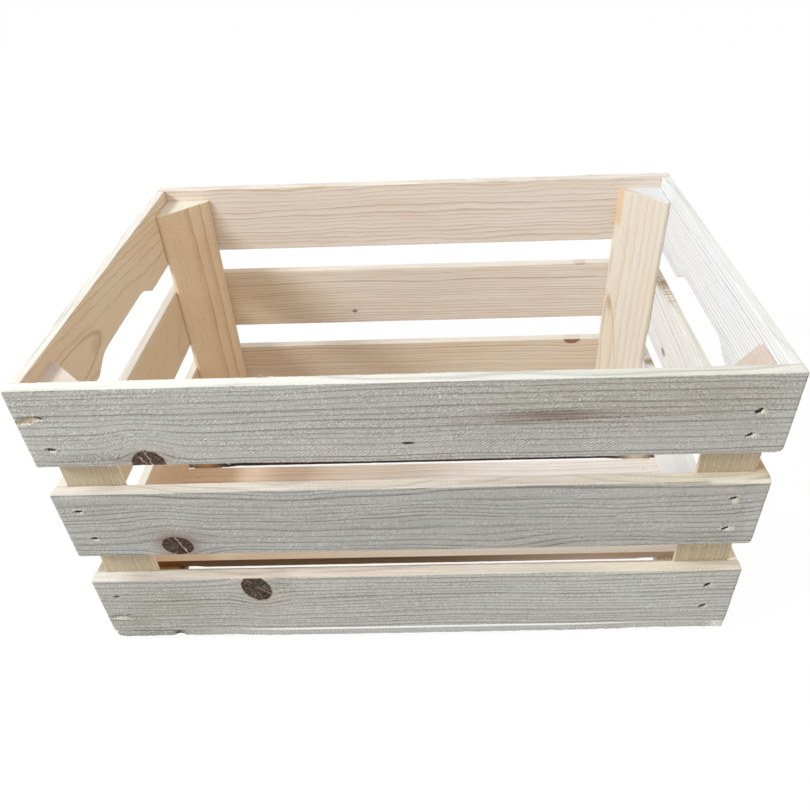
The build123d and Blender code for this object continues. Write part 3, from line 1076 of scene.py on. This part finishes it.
# %% [markdown]
# ## Forms that one board has alone
# The hand-hold is a shallow notch with straight slopes and a rounded roof, cut in the lower edge of
# each end's top board. The board at the front of the floor bows out a little past the slat above
# it, shows a thin ledge there with pale fibres and a painted highlight, and has a chip at the left.
# The front slats differ a little in length. These are shears and shifts of the plank's points. A form
# that also bares pale fibres, or paints a highlight, hands back how bare each point is.

# %% Notches, chips and the bowed edge board
NOTCH_HALF, NOTCH_RUN, NOTCH_DEPTH, NOTCH_RADIUS = 65.0, 18.0, 11.0, 31.0
SLAT_END = 250.0
SAG = 0.8
SPLIT_DROP, SPLIT_START = 1.9, 204.0
PROUD, HELD_BACK = 1.3, 0.2
CHIP_HEIGHT, CHIP_LEFT, CHIP_RIGHT = 3.6, -205.0, -193.0
SLAT_GAP = 1.2
RAGGED = 0.45
BATTEN_CLEAR = 206.0


def notch_height(along):
    """Height of the hand-hold's roof above the lower edge."""
    slope = math.atan2(NOTCH_DEPTH, NOTCH_RUN)
    tangent = NOTCH_RADIUS * math.tan(slope / 2)
    flat = NOTCH_HALF - NOTCH_RUN - tangent
    reach = np.abs(along)
    line = np.clip(NOTCH_HALF - reach, 0, None) * math.tan(slope)
    bow = np.sqrt(np.clip(NOTCH_RADIUS**2 - (reach - flat) ** 2, 0, None)) + NOTCH_DEPTH - NOTCH_RADIUS
    round_end = flat + NOTCH_RADIUS * math.sin(slope)
    return np.where(reach < flat, NOTCH_DEPTH, np.where(reach < round_end, bow, line))


def cut_hand_hold(points, halves, chance):
    share = (halves[1] - points[:, 1]) / (2 * halves[1])
    points[:, 1] += notch_height(points[:, 0]) * share


def draw_ends(points, left, right):
    """Lengthen a board a little at its left and right ends."""
    along = points[:, 0]
    near_left = soft_step(-along, SLAT_END - 50.0, SLAT_END)
    near_right = soft_step(along, SLAT_END - 50.0, SLAT_END)
    points[:, 0] = along + right * near_right - left * near_left


def wear_top_slat(points, halves, chance):
    knock_corner(points, halves, (0, 1), (1, -1), radius=5.0)
    lower = soft_step(-points[:, 1], 0.0, halves[1])
    points[:, 1] -= SAG * soft_step(points[:, 0], -110.0, -20.0) * lower
    draw_ends(points, left=0.4, right=0.0)


def lengthen_bottom_slat(points, halves, chance):
    draw_ends(points, left=1.2, right=0.4)


def split_middle_slat(points, halves, chance):
    knock_corner(points, halves, (0, 1), (1, -1), radius=3.2)
    draw_ends(points, left=1.1, right=0.1)
    along, across, through = points.T
    near = soft_step(across, halves[1] - 4.0, halves[1] - 1.0) * soft_step(through, 0.2, 3.2)
    points[:, 1] -= SPLIT_DROP * soft_step(along, SPLIT_START, SLAT_END) * near
    return near * soft_step(along, SPLIT_START, SPLIT_START + 8.0)


def bow_edge_board(points, halves, chance):
    along, across, through = points.T
    from_edge = -across - halves[1]
    front = soft_step(from_edge, -18.0, -2.0)
    proud = PROUD * soft_step(along, -165.0, -110.0) * (1 - soft_step(along, 120.0, 200.0)) - HELD_BACK
    steps = np.arange(-256.0, 258.0, 2.6)
    ragged = np.interp(along, steps, chance.uniform(-RAGGED, RAGGED, len(steps)))
    lower = soft_step(-through, 1.0, 3.6) * soft_step(from_edge, -5.0, -1.0)
    chip = np.clip(np.minimum((along - CHIP_LEFT) / 8.5, (CHIP_RIGHT - along) / 3.5), 0, 1) * CHIP_HEIGHT
    chipped = chip * soft_step(-through, -3.6, 3.9) * soft_step(from_edge, -9.0, -4.0)
    gap = SLAT_GAP * (1 - soft_step(along, -204.0, -196.0)) * soft_step(through, 0.0, 3.0)
    points[:, 1] -= front * proud
    points[:, 2] += lower * ragged + chipped - front * gap
    knock_corner(points, halves, (0, 2), (-1, -1), radius=3.6)
    from_edge = -across - halves[1]
    ledge = soft_step(from_edge, -1.6, -0.4) * soft_step(through, 3.2, 3.8)
    frayed = soft_step(along, halves[0] - 11.0, halves[0] - 5.0) * soft_step(from_edge, -3.0, -1.0)
    # The ledge gets pale fibres and a painted highlight; the frayed right end gets pale fibres.
    ledge_fibres_and_highlight = 0.7 * ledge * soft_step(along, -150.0, -60.0)
    return np.maximum(ledge_fibres_and_highlight, frayed * chance.random(len(points)))


def hang_front_edge(points, halves, drop):
    """Lower or raise the underside of a floor board at its front edge, clear of the battens."""
    along, across, through = points.T
    between = soft_step(BATTEN_CLEAR - np.abs(along), 0.0, 14.0)
    front = soft_step(-across, halves[1] - 16.0, halves[1] - 3.0)
    points[:, 2] -= drop * between * front * soft_step(-through, -2.0, 3.0)


def thicken_inner_board(points, halves, chance):
    hang_front_edge(points, halves, drop=1.3)


def thin_inner_board(points, halves, chance):
    hang_front_edge(points, halves, drop=-1.4)


SHAPES = {
    "front_top_slat": wear_top_slat,
    "front_middle_slat": split_middle_slat,
    "front_bottom_slat": lengthen_bottom_slat,
    "front_edge_board": bow_edge_board,
    "inner_board_1": thicken_inner_board,
    "inner_board_3": thin_inner_board,
    "left_handle_board": cut_hand_hold,
    "right_handle_board": cut_hand_hold,
}
print("boards with a form of their own:", len(SHAPES))

# %% [markdown]
# ## Every plank in its place
# For each board of the frame, the tree grows a plank of that size, the marks are made on it, and it
# goes where the frame's board is, which it then stands for.

# %% Planks
PLANK_WAYS = {
    "front": ["front_bottom_slat", "front_middle_slat", "front_top_slat"],
    "back": ["back_bottom_slat", "back_middle_slat", "back_top_slat"],
    "left": ["left_bottom_slat", "left_middle_slat", "left_handle_board"],
    "right": ["right_bottom_slat", "right_middle_slat", "right_handle_board"],
    "floor": ["front_edge_board", "inner_board_1", "inner_board_2", "inner_board_3", "back_edge_board"],
    "batten": ["left_batten", "right_batten"],
}
SLOTS = {"front": "slat_wood", "back": "slat_wood", "left": "end_wood", "right": "end_wood"}
ARRIS_RADIUS, FRONT_WEAR, OTHER_WEAR, BOW = 0.4 * MM, 0.8 * MM, 0.55 * MM, 0.12 * MM
LINES_ACROSS, LINES_THROUGH = 31, 8
LINE_STEP = {"front": 1.6, "back": 2.4, "left": 2.0, "right": 2.0, "floor": 2.6, "batten": 3.0}


def settle(piece, slot, *nodes):
    """Put a finished piece into the scene, on the crate's one body, in place of CAD nodes."""
    show(piece)
    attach(piece, "root")
    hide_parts(*nodes)


def make_plank(name, way):
    low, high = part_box(name)
    centre = (low + high) / 2
    size = [abs((high - low).dot(axis)) for axis in GRAIN_AXES[way]]
    halves = [edge / 2 / MM for edge in size]
    look = LOOKS[name]
    chance = np.random.default_rng(look["seed"])
    inputs = {
        "Length": size[0],
        "Width": size[1],
        "Thickness": size[2],
        "Arris": ARRIS_RADIUS,
        "Wear": FRONT_WEAR if way == "front" else OTHER_WEAR,
        "Bow": BOW,
        "Seed": look["seed"] * 1.7,
        "Lines Along": int(size[0] / MM / LINE_STEP[way]) + 1,
        "Lines Across": LINES_ACROSS,
        "Lines Through": LINES_THROUGH,
        "Wood": ring_wood(name + "_wood", way, centre, look),
    }
    mesh = grown("sawn_" + name, board_tree, inputs)
    pits = FRONT_PITS.get(name) or hidden_pits(name, centre, halves[1], chance)
    divide_near(mesh, pits, halves[2])
    points = points_of(mesh)
    bare = SHAPES[name](points, halves, chance) if name in SHAPES else None
    hole, torn = dig(points, pits, halves[2], chance)
    put_points(mesh, points)
    put_value(mesh, "hole", hole)
    put_value(mesh, "torn", torn if bare is None else np.maximum(torn, bare))
    mesh.transform(Matrix.Translation(centre) @ grain_turn(way).to_4x4())
    settle(bpy.data.objects.new(mesh.name, mesh), SLOTS.get(way, "floor_wood"), name)
    return len(mesh.polygons)


faces = {name: make_plank(name, way) for way, names in PLANK_WAYS.items() for name in names}
print("planks:", len(faces), "faces:", sum(faces.values()))

# %% [markdown]
# ## Corner posts
# A post is a square stick sawn corner to corner, so its section is a right-angled triangle with
# blunt noses. It is a loop of points drawn upwards. Where its nose meets the wall, a strip is darkened
# with painted shade for the crease. The back right one kept a strip of the round log at the top of
# its left nose, which shows as an orange bevel that runs out downwards.

# %% Posts
POST_LEGS = (41.0, 37.0)
POST_NOSE = 3.0
POST_STEP = 2.4
POST_ARRIS = 0.7
POST_BEND, BEND_STATIONS = 0.25, 7
END_SHARE = 0.985
WANE_WIDTH, WANE_INWARD = 7.5, (0.667, 0.745)


def post_loop(corner, ways):
    """Points round a post's section, with rounded corners, in millimetres."""
    leg_x, leg_y = POST_LEGS
    marks = [(0, 0), (leg_x, 0), (leg_x, POST_NOSE), (POST_NOSE, leg_y), (0, leg_y)]
    marks = [Vector((corner[0] - ways[0] * x, corner[1] - ways[1] * y)) for x, y in marks]
    loop = []
    for index, mark in enumerate(marks):
        to_last = (marks[index - 1] - mark).normalized()
        side = marks[(index + 1) % len(marks)] - mark
        to_next = side.normalized()
        start, stop = mark + to_last * POST_ARRIS, mark + to_next * POST_ARRIS
        loop += [start, (start + stop) * 0.25 + mark * 0.5, stop]
        span = side.length - 2 * POST_ARRIS
        count = int(span // POST_STEP)
        loop += [stop + to_next * span * step / (count + 1) for step in range(1, count + 1)]
    return np.array([tuple(point) for point in loop])


def wane(points, height, corner):
    """Bevel the nose of the back right post near its top. Returns how bare each point is."""
    nose = np.array([corner[0] - POST_LEGS[0], corner[1] - POST_NOSE])
    far = np.hypot(*(points[:, :2] - nose).T)
    width = WANE_WIDTH * soft_step(points[:, 2], height - 74.0, height - 44.0)
    share = np.clip(1 - far / np.maximum(width, 1e-6), 0, 1)
    points[:, :2] += np.array(WANE_INWARD) * (share * width * 0.3)[:, None]
    return soft_step(share, 0.02, 0.1) * soft_step(points[:, 2], height - 40.0, height - 33.0)


def make_post(name):
    low, high = (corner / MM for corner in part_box(name))
    ways = (-1 if "left" in name else 1, -1 if "front" in name else 1)
    corner = (high.x if ways[0] > 0 else low.x, high.y if ways[1] > 0 else low.y)
    loop = post_loop(corner, ways)
    middle = loop.mean(0)
    count = int((high.z - low.z) // POST_STEP)
    levels = np.linspace(low.z + POST_ARRIS, high.z - POST_ARRIS, count)
    rings = [(low.z, END_SHARE), *((level, 1.0) for level in levels), (high.z, END_SHARE)]
    points = np.array([(*(middle + (mark - middle) * share), z) for z, share in rings for mark in loop])
    chance = np.random.default_rng(LOOKS[name]["seed"])
    stations = np.linspace(low.z, high.z, BEND_STATIONS)
    bends = chance.uniform(-POST_BEND, POST_BEND, BEND_STATIONS)
    points[:, 0] += np.interp(points[:, 2], stations, bends)
    bare = wane(points, high.z, corner) if name == "back_right_post" else np.zeros(len(points))
    off_wall, off_corner = np.abs(points[:, :2] - corner).T
    # Painted shade: a strip along the crease where the nose meets the wall is darkened, more on the back
    # left post.
    dark = 0.4 if name == "back_left_post" else 0.25
    crease_shade = (1 - soft_step(off_wall, 0.1, 1.3)) * (off_corner > POST_LEGS[1] - 1.0) * dark
    size = len(loop)
    faces = [
        (r * size + i, r * size + (i + 1) % size, (r + 1) * size + (i + 1) % size, (r + 1) * size + i)
        for r in range(len(rings) - 1)
        for i in range(size)
    ]
    faces += [tuple(range(size)), tuple(range((len(rings) - 1) * size, len(rings) * size))]
    mesh = bpy.data.meshes.new("sawn_" + name)
    mesh.from_pydata([tuple(point * MM) for point in points], [], faces)
    work = bmesh.new()
    work.from_mesh(mesh)
    bmesh.ops.recalc_face_normals(work, faces=work.faces)
    work.to_mesh(mesh)
    work.free()
    put_value(mesh, "torn", bare)
    put_value(mesh, "hole", crease_shade)
    mesh.materials.append(ring_wood(name + "_wood", "post", (low + high) / 2 * MM, LOOKS[name]))
    settle(bpy.data.objects.new(mesh.name, mesh), "post_wood", name)
    return len(mesh.polygons)


POSTS = ["front_left_post", "front_right_post", "back_left_post", "back_right_post"]
print("post faces:", [make_post(name) for name in POSTS])

# %% [markdown]
# ## Nails
# The nails are all one shape, so a tree sets one nail on every station of a group and turns it to
# face out of the wood. They sit under the surface, and only their heads can be seen in the holes.


# %% Steel and the tree of nails
def dull_steel():
    material, tree, shader = blank_material("nail_steel")
    room = Wire(tree).make("ShaderNodeTexCoord", out="Object").scaled(1 / MM)
    specks = noise(room, (0.7, 0.7, 0.7), 3.0, 0.6).ease(0.4, 0.7)
    colour = plain(room, tone(128, 128, 130)).toward(tone(96, 70, 54), specks * 0.7)
    colour.into(shader, "Base Color")
    (0.35 + specks * 0.4).into(shader, "Roughness")
    (1 - specks * 0.8).into(shader, "Metallic")
    return material


NAIL_INPUTS = {
    **dict.fromkeys(("Head", "Head Thickness", "Shank", "Length", "Point", "Sink"), NUMBER),
    "Steel": FINISH,
}
HEAD_SIDES, SHANK_SIDES = 14, 8


def pin(low_radius, high_radius, depth, base, sides):
    """A round length of nail or sliver that starts at base and runs up."""
    values = {"Vertices": sides, "Radius Top": high_radius, "Radius Bottom": low_radius, "Depth": depth}
    cone = low_radius.make("GeometryNodeMeshCone", None, values)
    values = {"Geometry": cone, "Translation": cone.combine(z=base)}
    return cone.make("GeometryNodeTransform", None, values)


def stored_vector(start, label):
    """A vector that every point of a cloud carries."""
    settings = {"data_type": "FLOAT_VECTOR"}
    return start.make("GeometryNodeInputNamedAttribute", settings, {"Name": label})


def set_on_points(given, shape, aim, **more):
    """Set a shape on every point, with its upward axis turned to aim."""
    facing = aim.make("FunctionNodeAlignRotationToVector", {"axis": "Z"}, {"Vector": aim})
    values = {"Points": given["Points"], "Instance": shape, "Rotation": facing, **more}
    return shape.make("GeometryNodeInstanceOnPoints", None, values)


def build_nail_tree():
    tree, given, exit_node = new_tree("sunk_nails", NAIL_INPUTS, True)
    head, shank = given["Head"] / 2, given["Shank"] / 2
    tip = -(given["Sink"] + given["Length"])
    head_base = -(given["Sink"] + given["Head Thickness"])
    neck = tip + given["Point"]
    parts = [
        pin(head * 0.92, head, given["Head Thickness"], head_base, HEAD_SIDES),
        pin(shank, shank, head_base - neck, neck, SHANK_SIDES),
        pin(shank * 0.08, shank, given["Point"], tip, SHANK_SIDES),
    ]
    nail = head.make("GeometryNodeJoinGeometry", None, {0: parts})
    nails = set_on_points(given, nail, stored_vector(nail, "aim"))
    finish_tree(nails, given["Steel"], exit_node)
    return tree


def point_cloud(name, places, **vectors):
    """A mesh of loose points with vectors stored on them, all in millimetres."""
    mesh = bpy.data.meshes.new(name)
    mesh.from_pydata([tuple(Vector(place) * MM) for place in places], [], [])
    for label, values in vectors.items():
        layer = mesh.attributes.new(label, "FLOAT_VECTOR", "POINT")
        layer.data.foreach_set("vector", np.array(values, np.float32).ravel())
    return mesh


nail_tree = build_nail_tree()
steel = dull_steel()
print("nodes in the nail tree:", len(nail_tree.nodes))

# %% [markdown]
# The frame has six groups of nails, one node each. The front ones sit in the holes above, and the
# others at the same places as the holes that were drawn by chance. Nails of two lengths hold the
# battens: long ones from below into the posts, short ones from above through the floor boards.

# %% Nails in their groups
FRONT_Y, SIDE_X = 160.0, 250.0
FLOOR_UNDER, FLOOR_TOP = 10.0, 18.0
WALL_NAIL, POST_NAIL, BOARD_NAIL = 25.0, 28.0, 14.0
NAIL_SIZES = {"Head": 3.6, "Head Thickness": 0.8, "Shank": 1.8, "Point": 3.0, "Sink": 1.5}


def nail_group(name, groups):
    """One piece for a group of nails. Each entry has a length, a direction and places."""
    meshes = []
    for length, aim, places in groups:
        points = point_cloud(name + "_points", places, aim=[aim] * len(places))
        sizes = {**NAIL_SIZES, "Length": length}
        inputs = {"Steel": steel, **{label: size * MM for label, size in sizes.items()}}
        meshes.append(grown("driven_" + name, nail_tree, inputs, points))
    work = bmesh.new()
    for mesh in meshes:
        work.from_mesh(mesh)
    work.to_mesh(meshes[0])
    work.free()
    settle(bpy.data.objects.new("driven_" + name, meshes[0]), "nail_steel", name)
    return len(meshes[0].polygons)


def board_box(name):
    low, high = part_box(name)
    return (low + high) / 2 / MM, (high - low) / MM


front_places = [
    (pit["spot"][0], -FRONT_Y, pit["spot"][1] + board_box(name)[0].z)
    for name, pits in FRONT_PITS.items()
    for pit in pits
    if pit.get("nail", True)
]
heights = [z for pair in WALL_NAIL_HEIGHTS.values() for z in pair]
back_places = [(x, FRONT_Y, z) for x in LONG_NAIL_X for z in heights]
end_places = [(y, z + END_STAGGER) for y in both(END_NAIL_Y) for z in heights]
floor_places, board_places = [], []
for name in PLANK_WAYS["floor"]:
    middle, span = board_box(name)
    rows = [middle.y + y for y in both(span.y / 2 - FLOOR_NAIL_MARGIN)]
    floor_places += [(x, y, FLOOR_UNDER) for x in both(END_NAIL_X) for y in rows]
    if name.startswith("inner"):
        board_places += [(x, y, FLOOR_TOP) for x in both(BATTEN_X) for y in rows]
post_places = [(x, y, 0.0) for x in both(BATTEN_X) for y in both(POST_NAIL_Y)]

DOWN, RISE = (0, 0, -1), (0, 0, 1)
NAILS = {
    "front_wall_nails": [(WALL_NAIL, (0, -1, 0), front_places)],
    "back_wall_nails": [(WALL_NAIL, (0, 1, 0), back_places)],
    "left_end_nails": [(WALL_NAIL, (-1, 0, 0), [(-SIDE_X, y, z) for y, z in end_places])],
    "right_end_nails": [(WALL_NAIL, (1, 0, 0), [(SIDE_X, y, z) for y, z in end_places])],
    "floor_nails": [(WALL_NAIL, DOWN, floor_places)],
    "batten_nails": [(POST_NAIL, DOWN, post_places), (BOARD_NAIL, RISE, board_places)],
}
print("nail faces:", {name: nail_group(name, groups) for name, groups in NAILS.items()})

# %% [markdown]
# ## Splinters
# A coarse saw leaves hairs of wood along the arrises, mostly on lower edges. Each is a thin sliver
# that lies along the board and lifts at one end. A tree sets slivers on points that were scattered
# along the edges, with a fixed seed. Each line below is one edge: its two ends, how many slivers it
# has, and the way they lift.

# %% The tree of splinters
SPLINTER_INPUTS = {"Sides": COUNT, "Root": NUMBER, "Wood": FINISH}
SPLINTER_TIP, SPLINTER_ROOT, SPLINTER_SIDES = 0.02 * MM, 0.22 * MM, 4


def build_splinter_tree():
    tree, given, exit_node = new_tree("splinters", SPLINTER_INPUTS, True)
    root = given["Root"]
    sliver = pin(root, SPLINTER_TIP, 1.0, 0.0, given["Sides"])
    run = stored_vector(sliver, "run")
    size = run.combine(1.0, 0.6, run.vector("LENGTH", out="Value"))
    hairs = set_on_points(given, sliver, run, Scale=size)
    finish_tree(hairs, given["Wood"], exit_node)
    return tree


def fibre_wood():
    material, tree, shader = blank_material("fibre_wood")
    room = Wire(tree).make("ShaderNodeTexCoord", out="Object").scaled(1 / MM)
    mottle = noise(room, (6, 3, 3), 2.0, 0.5)
    colour = plain(room, tone(240, 234, 220)).toward(tone(206, 188, 160), mottle.ease(0.4, 0.7))
    colour.into(shader, "Base Color")
    (0.75 + mottle * 0.15).into(shader, "Roughness")
    return material


EDGES = [
    ((-250, -160.6, 10.6), (250, -160.6, 10.6), 150, (0, -0.2, -1)),
    ((236, -159.0, 12.0), (250, -160.4, 17.5), 26, (0.5, -1, 0.2)),
    ((-250, -159.9, 272.7), (250, -159.9, 272.7), 46, (0, -0.5, 0.6)),
    ((-250, -151.2, 272.8), (250, -151.2, 272.8), 40, (0, 0.5, 0.8)),
    ((-250, -159.8, 207.2), (250, -159.8, 207.2), 34, (0, -0.4, -0.8)),
    ((-250, -159.8, 179.8), (250, -159.8, 179.8), 30, (0, -0.6, 0.5)),
    ((-250, -159.8, 114.2), (250, -159.8, 114.2), 34, (0, -0.4, -0.8)),
    ((-250, -159.8, 83.8), (250, -159.8, 83.8), 40, (0, -0.6, 0.5)),
    ((-200, 151.2, 207.2), (200, 151.2, 207.2), 44, (0, -0.5, -0.8)),
    ((-250, 159.8, 272.7), (250, 159.8, 272.7), 40, (0, 0.5, 0.6)),
    ((-250, 159.8, 114.2), (250, 159.8, 114.2), 30, (0, 0.5, -0.6)),
    ((-250, 160.0, 10.4), (250, 160.0, 10.4), 70, (0, 0.2, -1)),
]


def scatter_splinters():
    chance = np.random.default_rng(7)
    grain_way = np.array((1.0, 0.0, 0.0))
    places, runs = [], []
    for start, stop, count, lift in EDGES:
        begin = np.array(start, float)
        span = np.array(stop, float) - begin
        for _ in range(count):
            places.append(begin + span * chance.random() + chance.uniform(-0.2, 0.2, 3))
            bent = grain_way * chance.choice((-1, 1)) + np.array(lift) * chance.uniform(0.05, 0.55)
            length = chance.uniform(1.2, 3.2) if chance.random() < 0.85 else chance.uniform(3.5, 6.0)
            runs.append(bent / np.linalg.norm(bent) * length * MM)
    return point_cloud("splinter_points", places, run=runs)


splinters = grown(
    "edge_splinters",
    build_splinter_tree(),
    {"Sides": SPLINTER_SIDES, "Root": SPLINTER_ROOT, "Wood": fibre_wood()},
    scatter_splinters(),
)
hairs = show(bpy.data.objects.new("edge_splinters", splinters))
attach(hairs, "root")
print("splinter faces:", len(splinters.polygons))

# %% [markdown]
# ## Floor and light
# The photograph was cut out on white, so the floor is white to the camera and keeps only a soft
# shadow. Daylight comes from the upper left and a little from behind, so the right end is bright
# inside, and the front is in even shade.


# %% Floor
def seen_rays(start):
    """1 for rays that show a surface to the camera, straight, mirrored or through glass, else 0."""
    seen = start.make("ShaderNodeLightPath", out="Is Camera Ray")
    seen = seen.math("MAXIMUM", start.make("ShaderNodeLightPath", out="Is Glossy Ray"))
    return seen.math("MAXIMUM", start.make("ShaderNodeLightPath", out="Is Transmission Ray"))


def white_floor():
    material, tree, shader = blank_material("white_floor")
    tree.nodes.remove(shader)
    start = Wire(tree)
    seen = seen_rays(start)
    matt = start.make("ShaderNodeBsdfDiffuse", None, {"Color": (0.5, 0.5, 0.5, 1)})
    glow = start.make("ShaderNodeEmission", None, {"Color": (1, 1, 1, 1), "Strength": 1.1})
    lit = start.make("ShaderNodeMixShader", None, {0: seen * 0.55 + 0.3, 1: matt, 2: glow})
    under = start.make("ShaderNodeNewGeometry", out="Backfacing")
    clear = start.make("ShaderNodeBsdfTransparent")
    sides = start.make("ShaderNodeMixShader", None, {0: under, 1: lit, 2: clear})
    sides.into(tree.nodes["Material Output"], "Surface")
    return material


FLOOR_HALF, FLOOR_DROP = 6.0, 0.4 * MM
ground = bpy.data.meshes.new("studio_floor")
corners = [(-1, -1), (1, -1), (1, 1), (-1, 1)]
ground.from_pydata([(x * FLOOR_HALF, y * FLOOR_HALF, -FLOOR_DROP) for x, y in corners], [], [(0, 1, 2, 3)])
ground.materials.append(white_floor())
studio_floor = show(bpy.data.objects.new("studio_floor", ground))
print("floor:", 2 * FLOOR_HALF, "m square")

# %% [markdown]
# Most of the light is an even pale sky, which keeps the shaded front readable. One cool lamp at
# the upper left stands for a window. The camera itself sees plain white in place of the sky.

# %% Light
SKY_LEVEL = 0.78
SKY_COLOUR = (1.0, 0.975, 0.93, 1)


def white_sky():
    world = bpy.data.worlds.new("white_sky")
    world.use_nodes = True
    tree = world.node_tree
    tree.nodes.clear()
    start = Wire(tree)
    seen = seen_rays(start)
    soft = start.make("ShaderNodeBackground", None, {"Color": SKY_COLOUR, "Strength": SKY_LEVEL})
    white = start.make("ShaderNodeBackground", None, {"Color": (1, 1, 1, 1), "Strength": 1.0})
    sky = start.make("ShaderNodeMixShader", None, {0: seen, 1: soft, 2: white})
    sky.into(tree.nodes.new("ShaderNodeOutputWorld"), "Surface")
    return world


def soft_lamp(name, place, aim, size, power, colour):
    lamp = bpy.data.lights.new(name, "AREA")
    lamp.shape = "DISK"
    lamp.size = size
    lamp.energy = power
    lamp.color = colour
    holder = show(bpy.data.objects.new(name, lamp))
    holder.location = place
    holder.rotation_euler = (Vector(aim) - Vector(place)).to_track_quat("-Z", "Y").to_euler()


bpy.context.scene.world = white_sky()
soft_lamp(
    "window_light",
    place=(-1.54, -0.77, 1.51),
    aim=(0, 0, 0.15),
    size=0.5,
    power=33.0,
    colour=(0.84, 0.94, 1.0),
)
bpy.context.scene.view_settings.view_transform = "Standard"
print("sky level", SKY_LEVEL)
